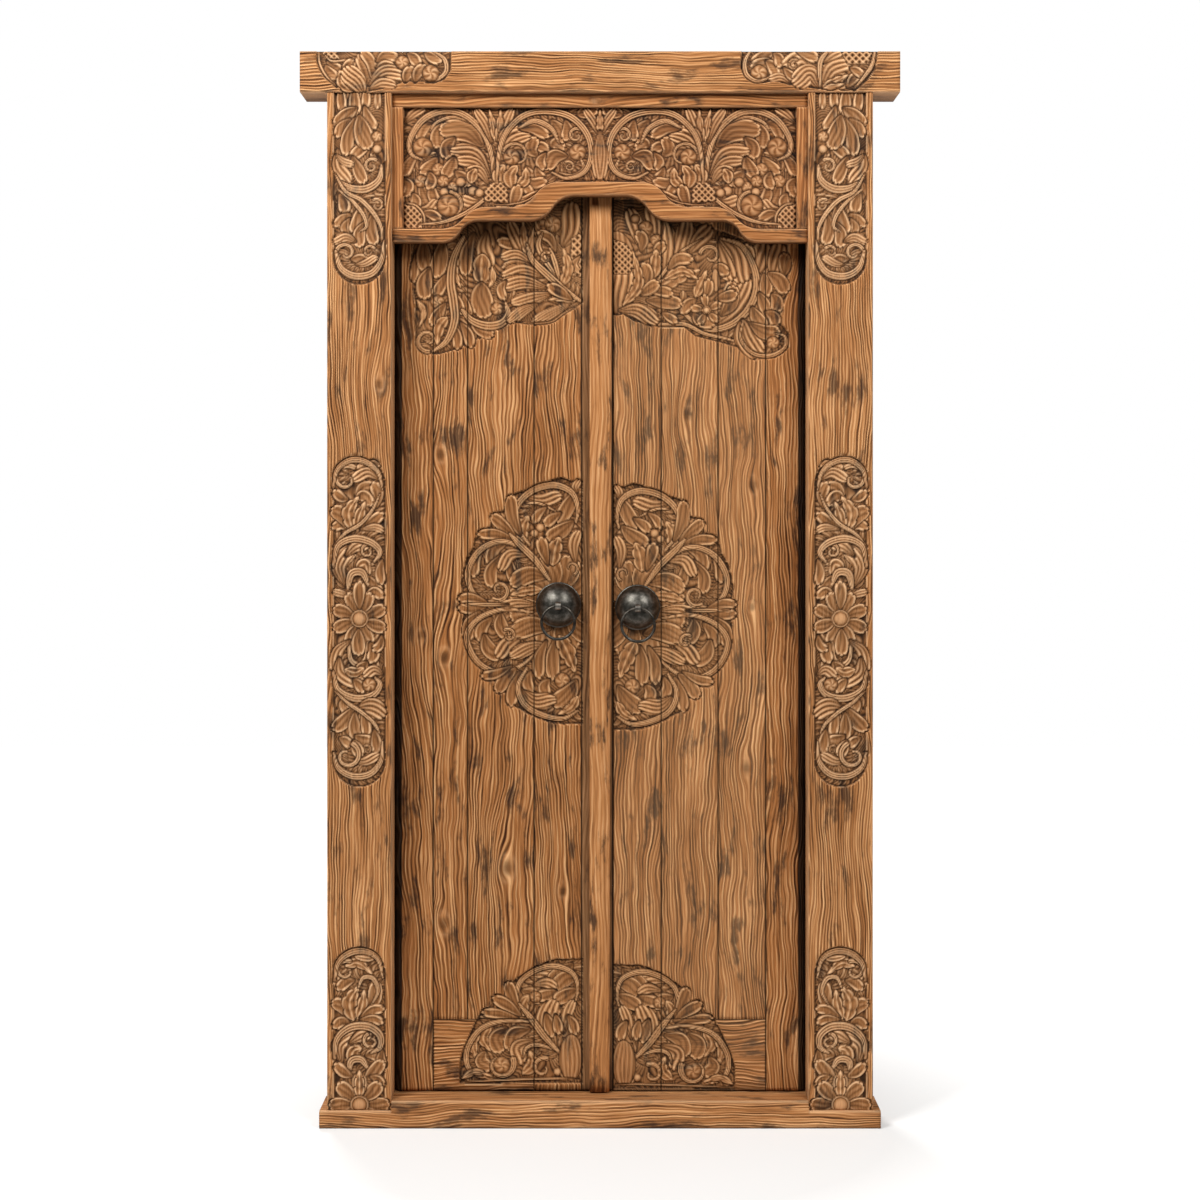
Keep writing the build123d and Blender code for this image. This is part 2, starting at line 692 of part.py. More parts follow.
def build_pull(name, x, z):
    """A domed boss with an eye through it, a ring in the eye and the clenched end behind."""
    apex = leaf_front - boss_height
    eye_radius = eye_bore + eye_wall
    eye_y = apex - eye_radius
    dome_radius = (boss_height**2 + boss_radius**2) / (2 * boss_height)
    half = Plane(origin=(x, 0, z), x_dir=(1, 0, 0), z_dir=(0, 0, 1))
    bore = shank_radius + shank_clearance
    dome_face = Pos(0, apex + dome_radius) * Circle(dome_radius)
    keep = Pos((bore + boss_radius) / 2, apex + boss_height / 2) * Rectangle(boss_radius - bore, boss_height)
    hollow = [
        (bore, apex + boss_crown),
        (boss_radius / 2, apex + boss_shoulder),
        (boss_radius - boss_shoulder, leaf_front - boss_height / 2),
        (boss_radius - boss_wall, leaf_front - boss_rim),
        (boss_radius - boss_wall, leaf_front),
        (bore, leaf_front),
    ]
    shell_face = (dome_face & keep) - make_face(Polyline(*hollow, close=True))
    boss = revolve(half * shell_face, axis=Axis((x, 0, z), (0, 1, 0)), revolution_arc=360)
    across = Plane(origin=(x - eye_width / 2, eye_y, z), x_dir=(0, 1, 0), z_dir=(1, 0, 0))
    eye = extrude(across * Circle(eye_radius), amount=eye_width)
    shank_span = (eye_y + eye_bore, leaf_back + washer_thickness + clench_thickness)
    shank_plane = front_plane(x, shank_span[0], z)
    eye = eye + extrude(shank_plane * Circle(shank_radius), amount=shank_span[0] - shank_span[1])
    eye = eye - extrude(across * Circle(eye_bore), amount=eye_width)
    tail_y = (leaf_back + washer_thickness, shank_span[1])
    eye = eye + block((x - shank_radius, x + shank_radius), tail_y, (z - clench_length, z + clench_length))
    washer_half = washer_side / 2
    washer_x = (x - washer_half, x + washer_half)
    washer = block(washer_x, (leaf_back, tail_y[0]), (z - washer_half, z + washer_half))
    hole_plane = front_plane(x, leaf_back - overrun, z)
    washer = washer - extrude(hole_plane * Circle(shank_radius), amount=-washer_thickness - overrun * 2)
    hang = z - ring_sag - ring_radius
    ring_plane = Plane(origin=(x, eye_y, hang), x_dir=(1, 0, 0), z_dir=(0, -1, 0))
    ring = ring_plane.location * Torus(ring_radius, ring_wire)
    return {f"{name}_boss": boss, f"{name}_eye": eye, f"{name}_washer": washer, f"{name}_ring": ring}


os.makedirs("parts", exist_ok=True)
nodes = build_frame()
nodes.update(build_pelmet())
left_cuts = leaf_cuts()
right_shift = stile_edge + right_edge
right_cuts = [Pos(right_shift, 0, -right_carving_drop) * cut for cut in mirrored(left_cuts)]
right_pull_height = medallion_height - right_pull_drop
nodes.update(build_leaf(
    -1, "left", meeting_edge, left_joint_shares, left_cuts, left_pull_place, medallion_height
))
nodes.update(build_leaf(
    1, "right", right_edge, right_joint_shares, right_cuts, right_pull_place, right_pull_height
))
nodes["meeting_bar"] = build_bar()
nodes.update(build_pull("left_pull", left_pull_place, medallion_height))
nodes.update(build_pull("right_pull", right_pull_place, right_pull_height))
for node, shape in nodes.items():
    export_step(shape, f"parts/{node}.step")
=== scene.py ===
import bpy
import numpy as np
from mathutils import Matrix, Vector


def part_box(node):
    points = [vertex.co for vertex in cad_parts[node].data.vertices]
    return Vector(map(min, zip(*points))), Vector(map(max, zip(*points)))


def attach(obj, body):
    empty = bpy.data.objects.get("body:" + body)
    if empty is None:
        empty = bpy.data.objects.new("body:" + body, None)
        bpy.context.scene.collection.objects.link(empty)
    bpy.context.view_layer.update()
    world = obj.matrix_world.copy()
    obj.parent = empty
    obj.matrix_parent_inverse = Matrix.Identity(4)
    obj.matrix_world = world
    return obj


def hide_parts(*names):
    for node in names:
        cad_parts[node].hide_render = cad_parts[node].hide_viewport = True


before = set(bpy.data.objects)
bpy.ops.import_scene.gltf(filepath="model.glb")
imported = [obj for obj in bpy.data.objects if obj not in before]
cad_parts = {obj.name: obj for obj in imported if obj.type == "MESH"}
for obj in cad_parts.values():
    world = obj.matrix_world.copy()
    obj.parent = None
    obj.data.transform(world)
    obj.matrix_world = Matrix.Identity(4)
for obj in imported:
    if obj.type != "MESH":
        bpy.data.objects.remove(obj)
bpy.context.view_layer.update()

# Lengths are millimetres in the door's own frame; meshes and patterns are in metres.
mm = 0.001

# Sizes of the frame, on the left side where both sides have them

post_out, post_in, post_middle = -558.0, -426.0, -492.0
post_front, post_back = -50.0, 50.0
post_foot, post_head = 36.0, 2116.0     # shoulders on the sill and under the lintel
post_arris = 3.0
rebate_side, rebate_front = -433.0, 14.0  # behind the post, round the leaf's heel
tenon_out, tenon_in = -523.0, -461.0
tenon_half, tenon_length = 17.0, 24.0
lintel_end, lintel_top, lintel_half = 613.0, 2200.0, 54.0
lintel_arris = 4.0
sill_end, sill_half = 573.0, 58.0
sill_step = 56.0                        # the sill's top between the posts
sill_arris = 5.0
pelmet_side, pelmet_head = 425.8, 2115.8
pelmet_front, pelmet_back = -38.0, -2.0
pelmet_arris = 3.0
rim_side, rim_head = 403.8, 2088.8      # the rim's inner edges
panel_lap = 8.0                         # panel behind the rim
panel_front, panel_back = -29.0, -7.0
arch_lower = (325.5, 250.1, 145.3, 51.1), (1812, 1857, 1908)   # ends of the S-curves, and the flats' heights
arch_upper = (325.5, 233.4, 180.2, 83.9), (1839, 1884, 1935)

# Sizes of the leaves, on the left side where both sides have them

leaf_front, leaf_back = 16.0, 50.0
leaf_foot, leaf_head = 59.0, 2110.0
leaf_arris = 2.0
pin_x, pin_y, pin_radius = -412.0, 33.0, 11.0
pin_foot, pin_head = 29.0, 2140.0
heel_radius = 17.0
heel_end = -380.0                       # the front's arris is eased from here to the joint
carving_end = 400.0                     # no leaf carving lies further out
ledge_heights = [264.1, 961.44, 1822.86]
trench_floor, trench_end = 39.8, -378.2
trench_half, trench_mouth = 39.2, 35.2  # half a trench's height at its floor and at the back
ledge_face, ledge_neck, ledge_back = 39.999, 50.0, 64.0
ledge_half, ledge_mouth, ledge_chamfer = 39.0, 35.0, 2.0
joint_room = 0.3                        # between the solids, on each side of a joint
tight = 0.28                            # taken up by the wood on each side of a joint
crown_rise, crown_flat = 0.598, 0.3     # of the 1.2 between the leaves, from each side
notch_left, notch_right = 5.0, 18.0     # notch in the bar, from its left edge
notch_foot, notch_head = 1894.0, 1920.0
bar_width, bar_spread = 41.0, 6.0       # at the foot, and what the head has more
right_leaf_shift, right_leaf_drop = 10.8, 12.0   # right leaf's carving against the left one's mirror image
boss_seat = (-87, 1068)                 # middle of the left leaf's medallion

# Sizes of the carving

carving_depth = 7.0                     # ground below the timber's face
face_drop = 0.3                         # highest carving below the face
raster_step = 1.2                       # spacing of a field's height table
groove_width = 2.6                      # V-cut round every carved shape
line_step = 1.8                         # from place to place along a shape's line
flute_width, lobe_length = 11, 21       # of leaves and petals
ground_flute = 8.5                      # of the leafage behind the shapes
tip_notch = 3.6                         # between two flutes at a petal's tip
smallest_flower = 10                    # radius above which a bead is cut as a flower
sprig_gap, sprig_width = 15.0, 14       # small leaves along the stems
sprig_height = 0.72                     # share of a whole shape's height
slimmest_stem = 8                       # stems above this width carry sprigs
slot_half = 53                          # half the width of a post's field
zone_margin = 4                         # room round a shape in its part of the table

# Spacing of points

fine = 2.15                             # on a carved front
coarse = 8.0                            # on a plain stretch


# Carving: every field is a height table, painted shape by shape from the ground up

def smooth_line(points, spacing=line_step):
    """Places spaced evenly in parameter on the Catmull-Rom curve through the points, at least 14 of them."""
    p = np.asarray(points, float)
    count = max(14, int(np.hypot(*np.diff(p, axis=0).T).sum() / spacing))
    p = np.vstack([2 * p[0] - p[1], p, 2 * p[-1] - p[-2]])
    t = np.linspace(0, len(points) - 1, count)
    k = np.minimum(t.astype(int), len(points) - 2)
    f = (t - k)[:, None]
    a, b, c, d = p[k], p[k + 1], p[k + 2], p[k + 3]
    return 0.5 * (2 * b + (c - a) * f + (2 * a - 5 * b + 4 * c - d) * f**2 + (3 * b - a - 3 * c + d) * f**3)


def scroll_line(centre, radius, start, sweep):
    """Places on a spiral: the radius shrinks to 0.3 of itself while the angle runs through the sweep."""
    t = np.linspace(0, 1, max(20, int(abs(np.radians(sweep)) * radius / 2)))
    angle = np.radians(start + sweep * t)
    r = radius * (1 - 0.7 * t**1.2)
    return np.stack([centre[0] + r * np.cos(angle), centre[1] + r * np.sin(angle)], 1)


def headings(line):
    """The unit direction of a line at each of its places."""
    way = np.gradient(line, axis=0)
    return way / (np.linalg.norm(way, axis=1)[:, None] + 1e-9)


def half_widths(kind, width, t):
    """Half the shape's width along its line, t from root to tip: stems taper, leaves swell and close."""
    w = width / 2
    close = np.sqrt(np.clip(1 - (np.clip(t - 0.74, 0, 1) / 0.26) ** 2, 0, 1))
    rise = np.sin(np.pi / 2 * np.clip(t / 0.7, 0, 1))
    return {
        "stem": 0.72 * w * (0.10 + 0.90 * np.sin(np.pi * (0.08 + 0.88 * t)) ** 0.8),
        "curl": 0.85 * w * (1 - 0.6 * t),
        "leaf": w * (0.10 + 0.90 * np.sin(np.pi * t**0.8) ** 0.85),
        "petal": w * (0.30 + 0.70 * rise) * (0.06 + 0.94 * close),
        "bud": w * np.sqrt(np.clip(1 - (2 * t - 1) ** 2, 0.02, 1)),
        "frond": w * (0.22 + 0.78 * rise) * (0.06 + 0.94 * close),
    }[kind]


def across(kind, flutes, lobes, rim, s, t):
    """Height over the ground, 0 to 1, at s across the shape (-1 to 1) and t along it.

    Stems and curls are rounded ridges side by side; buds swell like an egg under fine ridges; leaves have
    a rib, a rolled rim and slanting lobes; petals rise to the tip, dished inside a rolled rim; fronds are
    flutes that rise to the tip."""
    ridge = np.abs(np.cos(np.pi * flutes / 2 * (s + 0.18 * np.sin(4 * t))))
    if kind in ("stem", "curl"):
        return 0.26 + 0.54 * np.abs(np.sin(np.pi * flutes / 2 * (s + 1))) ** 0.8
    if kind == "bud":
        egg = 0.40 * np.sqrt(np.clip(1 - s * s, 0, 1))
        return 0.16 + egg * np.sin(np.pi * (0.12 + 0.8 * t)) ** 0.5 + 0.24 * ridge
    if kind == "leaf":
        return 0.30 + 0.16 * lobes + 0.28 * rim + 0.12 * ridge + 0.26 * np.exp(-((s / 0.16) ** 2))
    if kind == "petal":
        return (0.30 + 0.68 * t**0.7) * (0.46 + 0.38 * rim + 0.20 * ridge)
    return (0.32 + 0.66 * t**0.7) * (0.46 + 0.54 * ridge)


def distance_inside(X, Z, corners):
    """Distance to a closed polygon's edge, positive inside."""
    corners = np.asarray(corners, float)
    near, within = np.full(X.shape, 1e9), np.zeros(X.shape, bool)
    for a, b in zip(corners, np.roll(corners, -1, 0)):
        run, px, pz = b - a, X - a[0], Z - a[1]
        t = np.clip((px * run[0] + pz * run[1]) / (run @ run), 0, 1)
        near = np.minimum(near, np.hypot(px - t * run[0], pz - t * run[1]))
        crossing = np.where(run[1] == 0, 1e-9, run[1])
        within ^= ((a[1] > Z) != (b[1] > Z)) & (px < run[0] * pz / crossing)
    return np.where(within, near, -near)


def fluted_ground(X, Z):
    """Small leafage behind the shapes: parallel flutes whose lines are bent by slow waves both ways."""
    way = 0.5 * X + 0.8 * Z + 15 * np.sin(X / 21 + 1.4 * np.sin(Z / 29))
    way = way + 15 * np.sin(Z / 25 + 1.2 * np.sin(X / 17))
    lift = 0.5 + 0.5 * np.sin(X / 11.3 + 1.7 * np.sin(Z / 13.1)) * np.sin(Z / 12.1 + 1.3 * np.sin(X / 15.7))
    return 0.5 + 2.0 * np.abs(np.cos(np.pi * way / ground_flute)) + 1.2 * lift


def sprigs(rows):
    """Small fluted leaves that spring from both sides of every stem and lean on towards its tip."""
    out = []
    for kind, size, *points in rows:
        if kind.startswith("stem") and size > slimmest_stem:
            line = smooth_line(points, sprig_gap)
            for n, (root, ahead) in enumerate(zip(line, headings(line))):
                aside = np.array([-ahead[1], ahead[0]]) * (1 if n % 2 else -1)
                for turn in (1, -1):
                    reach = root + turn * aside * (9 + size / 4) + ahead * 6
                    tip = root + turn * aside * (17 + size / 3) + ahead * 19
                    out.append(("frond2", sprig_width, tuple(root), tuple(reach), tuple(tip)))
    return out


def blurred(a, reach):
    """The table averaged with a bell of the given reach, along one side and then the other."""
    n = int(3 * reach / raster_step) + 1
    bell = np.exp(-0.5 * (np.arange(-n, n + 1) * raster_step / reach) ** 2)
    bell /= bell.sum()
    a = np.pad(a, n, mode="edge")
    a = sum(bell[i] * a[i:a.shape[0] - 2 * n + i] for i in range(2 * n + 1))
    return sum(bell[i] * a[:, i:a.shape[1] - 2 * n + i] for i in range(2 * n + 1))


def round_shape(kind, size, dx, dz):
    """Distance outside a round shape and its height, at places given from its middle.

    A bead is a dome, cut into five swirling petals where it is large enough; an eye is a domed button inside
    a thin rim; a seat is flat."""
    d = np.hypot(dx, dz)
    q = np.clip(d / size, 0, 1)
    dome, rim = np.sqrt(1 - q**2), np.clip(1 - ((q - 0.90) / 0.12) ** 2, 0.10, 1)
    button = np.sqrt(np.clip(1 - (q / 0.78) ** 2, 0, 1))
    swirl = np.abs(np.cos(2.5 * np.arctan2(dz, dx) + 2.2 * q)) if size > smallest_flower else 0.85
    return d - size, {
        "bead": 0.24 + 0.60 * dome * (0.42 + 0.58 * swirl),
        "eye": np.maximum(0.66 * rim, 0.20 + 0.64 * button),
        "seat": np.ones_like(q),
    }[kind]


def net_shape(size, corners, X, Z):
    """Distance outside a net's corners, and its height: bars at 45 degrees both ways, spaced by the size."""
    u, v = (X + Z) / (size * 1.414), (X - Z) / (size * 1.414)
    bars = np.maximum(np.abs(np.cos(np.pi * u)), np.abs(np.cos(np.pi * v))) ** 3
    return -distance_inside(X, Z, corners), 0.22 + 0.56 * bars


def line_shape(kind, size, flutes, line, px, pz, least):
    """Distance outside a shape drawn along a line, no less than the least, and its height.

    The distance is to the line's nearest place, less the half width there. Fronds and petals are notched
    between their flutes near the tip, leaves between their lobes; every shape is rounded over its edge."""
    t = np.linspace(0, 1, len(line))
    w = half_widths(kind, size, t)
    way = headings(line)
    gap = np.hypot(px[..., None] - line[:, 0], pz[..., None] - line[:, 1]) - w
    k = gap.argmin(-1)
    edge = np.take_along_axis(gap, k[..., None], -1)[..., 0]
    side = (pz - line[k, 1]) * way[k, 0] - (px - line[k, 0]) * way[k, 1]
    s = np.clip(side / np.maximum(w[k], 0.5), -1, 1)
    length = np.hypot(*np.diff(line, axis=0).T).sum()
    lobes = np.abs(np.sin(np.pi * max(2, round(length / lobe_length)) * (t[k] - 0.12 * np.abs(s))))
    if kind in ("frond", "petal"):
        notch = 1 - np.abs(np.cos(np.pi * flutes / 2 * s))
        edge = edge + tip_notch * notch**2 * np.clip((t[k] - 0.5) / 0.3, 0, 1)
    elif kind == "leaf":
        edge = edge + 0.16 * size * (1 - lobes) ** 2 * np.clip(2 * np.abs(s) - 0.6, 0, 1)
    edge = np.maximum(edge, least)
    rim = np.exp(-(((edge + 2.4) / 1.7) ** 2))
    rise = across(kind, flutes, lobes, rim, s, t[k]) * (0.35 + 0.65 * np.sqrt(np.clip(-edge / 2, 0, 1)))
    return edge, rise


def carved_field(window, outline, rows):
    """A field's tables over its window of left, foot, right and head: height under the face, and the shares
    of carved, hollow and worn.

    The ground is sunk inside the outline, with sprigs on it; each row's shape then stands there, with a
    groove round it. Hollow and worn are how far the height lies under or over its own blurred copy."""
    x = np.arange(window[0], window[2] + raster_step, raster_step)
    z = np.arange(window[1], window[3] + raster_step, raster_step)
    X, Z = np.meshgrid(x, z)
    inside = distance_inside(X, Z, outline)
    height = np.clip(inside / 2, 0, 1) * (fluted_ground(X, Z) - carving_depth)
    carved = (inside > 0).astype(float)

    def zone_round(places, reach):
        low, high = np.min(places, 0), np.max(places, 0)
        columns = slice(*np.searchsorted(x, [low[0] - reach, high[0] + reach]))
        return slice(*np.searchsorted(z, [low[1] - reach, high[1] + reach])), columns

    small = sprigs(rows)
    for n, (kind, size, *rest) in enumerate(small + rows):
        flutes = int(kind[-1]) if kind[-1].isdigit() else max(2, round(size / flute_width))
        kind = kind.rstrip("12345")
        if kind in ("bead", "eye", "seat"):
            zone = zone_round(rest, size + zone_margin)
            edge, rise = round_shape(kind, size, X[zone] - rest[0][0], Z[zone] - rest[0][1])
        elif kind == "net":
            zone = slice(None), slice(None)
            edge, rise = net_shape(size, rest[0], X, Z)
        else:
            line = scroll_line(*rest) if kind == "curl" else smooth_line(rest)
            zone = zone_round(line, size / 2 + zone_margin)
            if not X[zone].size:
                continue
            sprig = n < len(small)
            least = 1 - inside[zone] if sprig else -np.inf
            edge, rise = line_shape(kind, size, flutes, line, X[zone], Z[zone], least)
            rise = rise * (sprig_height if sprig else 1)
        old = height[zone]
        groove = -carving_depth * (1 - np.clip(edge / groove_width, 0, 1) ** 1.5)
        top = (carving_depth - face_drop) * np.clip(rise, 0, 1) - carving_depth
        height[zone] = np.where(edge < 0, top, np.where(edge < groove_width, np.minimum(old, groove), old))
        carved[zone] = np.where(edge < groove_width, 1, carved[zone])
    over = height - blurred(height, 5.0)
    # Hollow is painted shade, more the deeper and more enclosed a place lies, with grime; worn is rubbing.
    sunk = np.clip(0.75 * np.clip((-height - 1.5) / 5, 0, 1) + 0.8 * np.clip(-over / 2.5, 0, 1), 0, 1)
    tables = np.stack([height, blurred(carved, 1.5), sunk, np.clip(over / 1.9, 0, 1) * carved])
    return window[:2], tables


def sampled(fields, X, Z):
    """Height, carved, hollow and worn at each place, read between the table's four nearest entries."""
    out = np.zeros((4, *X.shape))
    for (x0, z0), tables in fields:
        u, v = (X - x0) / raster_step, (Z - z0) / raster_step
        i, j = np.floor(u).astype(int), np.floor(v).astype(int)
        on = (i >= 0) & (j >= 0) & (i < tables.shape[2] - 1) & (j < tables.shape[1] - 1)
        i, j, f, g = i[on], j[on], u[on] - i[on], v[on] - j[on]
        low = tables[:, j, i] * (1 - f) + tables[:, j, i + 1] * f
        high = tables[:, j + 1, i] * (1 - f) + tables[:, j + 1, i + 1] * f
        out[:, on] = low * (1 - g) + high * g
    return out


def rosette(centre, reach, core, first, count, turn):
    """Rows for a flower: petals at even turns, each from the core's edge to the reach, and a button."""
    rows = []
    for n in range(count):
        angle = np.radians(first + n * turn)
        way = np.array([np.cos(angle), np.sin(angle)])
        places = [tuple(centre + r * way) for r in (core * 0.8, (core + reach) / 2, reach)]
        rows.append(("petal", (reach + core) * 0.45, *places))
    return rows + [("eye", core, centre)]


def slot_outline(foot, head, round_foot, round_head):
    """The corners of a field on the post: straight sides, each end square or a half circle."""
    ends = []
    for z, way, is_round in ((head, 1, round_head), (foot, -1, round_foot)):
        turn = np.radians(np.arange(0, 181, 12)) if is_round else np.array([0, np.pi])
        lift = way * slot_half if is_round else 0
        x = post_middle + way * slot_half * np.cos(turn)
        ends.append(np.stack([x, z - lift + lift * np.sin(turn)], 1))
    return np.vstack(ends)


# Carved shapes

# Rows are painted in this order. A row has a kind, with its number of flutes where that is set, a width or
# radius, and the places that its line runs through from root to tip. A bead, eye or seat has its middle; a
# curl its middle, radius, first angle and sweep; a net its corners. The right leaf's head is drawn as on the
# left.

spandrel_outline = [
    (-28, 1694), (-60, 1683), (-76, 1670), (-92, 1656), (-112, 1650), (-134, 1648), (-160, 1653),
    (-190, 1649), (-216, 1637), (-234, 1627), (-252, 1616), (-262, 1613), (-267, 1604), (-277, 1599),
    (-288, 1603), (-306, 1594), (-330, 1587), (-350, 1585), (-366, 1590), (-378, 1602), (-384, 1620),
    (-386, 1650), (-384, 1690), (-390, 1720), (-392, 1790), (-388, 1812), (-388, 1920), (-28, 1920),
]
spandrel_shapes = [
    ("petal", 20, (-380, 1800), (-384, 1768), (-386, 1736)),
    ("petal", 34, (-366, 1822), (-366, 1792), (-362, 1763)),
    ("petal", 38, (-326, 1822), (-332, 1785), (-340, 1751)),
    ("petal", 36, (-356, 1762), (-364, 1735), (-364, 1707)),
    ("petal", 26, (-318, 1752), (-330, 1728), (-342, 1707)), ("bead", 14, (-337, 1694)),
    ("leaf", 14, (-380, 1700), (-366, 1672), (-376, 1640)),
    ("petal", 28, (-322, 1690), (-336, 1668), (-347, 1650)),
    ("leaf", 26, (-318, 1662), (-334, 1640), (-338, 1604)),
    ("petal", 30, (-262, 1836), (-277, 1795), (-279, 1752)),
    ("frond3", 36, (-236, 1840), (-240, 1805), (-230, 1771)),
    ("leaf", 18, (-296, 1792), (-302, 1757), (-288, 1722)),
    ("leaf", 40, (-244, 1790), (-246, 1758), (-244, 1724)),
    ("leaf", 14, (-224, 1768), (-222, 1742), (-232, 1722)),
    ("petal", 48, (-246, 1730), (-246, 1704), (-240, 1671)),
    ("petal", 18, (-284, 1712), (-277, 1688), (-270, 1664)),
    ("petal", 24, (-304, 1716), (-296, 1694), (-288, 1672)),
    ("petal", 30, (-268, 1662), (-250, 1640), (-226, 1626)),
    ("petal", 24, (-288, 1650), (-274, 1628), (-268, 1602)),
    ("petal", 22, (-302, 1648), (-296, 1622), (-296, 1598)),
    ("stem3", 26, (-286, 1678), (-266, 1656), (-236, 1645), (-206, 1649), (-191, 1668), (-196, 1692)),
    ("bead", 13, (-214, 1680)), ("curl2", 12, (-357, 1615), 24, -90, -330),
    ("stem3", 28, (-283, 1830), (-304, 1785), (-310, 1738), (-304, 1694), (-302, 1655), (-318, 1614),
        (-346, 1592)),
    ("petal", 24, (-168, 1812), (-186, 1814), (-210, 1822)),
    ("frond3", 30, (-150, 1780), (-170, 1815), (-186, 1860)),
    ("leaf", 18, (-148, 1785), (-158, 1825), (-160, 1870)),
    ("leaf", 16, (-144, 1780), (-142, 1815), (-138, 1850)),
    ("frond3", 24, (-140, 1774), (-172, 1792), (-202, 1788)),
    ("petal", 18, (-146, 1772), (-176, 1774), (-202, 1766)),
    ("frond4", 34, (-118, 1748), (-160, 1758), (-198, 1750)),
    ("frond4", 32, (-108, 1724), (-160, 1736), (-206, 1728)),
    ("petal", 20, (-196, 1738), (-206, 1722), (-199, 1700)),
    ("frond4", 30, (-100, 1712), (-140, 1702), (-180, 1694)),
    ("frond5", 26, (-62, 1692), (-98, 1672), (-138, 1652)),
    ("frond5", 26, (-130, 1690), (-158, 1676), (-190, 1654)),
    ("stem1", 6, (-40, 1692), (-75, 1671), (-100, 1654), (-135, 1650), (-175, 1653)),
    ("frond3", 44, (-76, 1812), (-64, 1845), (-58, 1895)),
    ("petal", 22, (-92, 1800), (-104, 1826), (-128, 1838)), ("bead", 17, (-98, 1856)),
    ("net", 11, [(-62, 1752), (-38, 1746), (-38, 1838), (-58, 1826)]),
    ("petal", 16, (-42, 1790), (-54, 1772), (-44, 1754)),
    ("stem2", 18, (-88, 1744), (-112, 1778), (-128, 1812), (-120, 1838)),
    ("stem2", 16, (-84, 1742), (-94, 1778), (-104, 1806)), ("curl2", 7, (-112, 1786), 12, 60, 340),
    ("leaf", 24, (-80, 1726), (-66, 1764), (-76, 1806)),
    ("leaf", 16, (-46, 1698), (-80, 1702), (-108, 1698)),
    ("stem3", 22, (-40, 1696), (-72, 1718), (-108, 1750), (-140, 1782), (-152, 1815)),
    ("petal", 26, (-60, 1700), (-82, 1714), (-106, 1728)),
]
medallion_outline = [
    (-28, 1326), (-60, 1322), (-80, 1330), (-100, 1325), (-122, 1316), (-150, 1305), (-178, 1296),
    (-190, 1284), (-197, 1263), (-215, 1260), (-226, 1247), (-229, 1230), (-246, 1222), (-259, 1205),
    (-263, 1184), (-276, 1164), (-283, 1140), (-288, 1110), (-284, 1090), (-294, 1076), (-291, 1057),
    (-281, 1049), (-285, 1035), (-285, 1005), (-273, 984), (-263, 960), (-250, 935), (-226, 912),
    (-216, 904), (-211, 889), (-195, 880), (-185, 869), (-178, 855), (-165, 850), (-150, 840), (-125, 829),
    (-100, 821), (-75, 818), (-60, 820), (-28, 817),
]
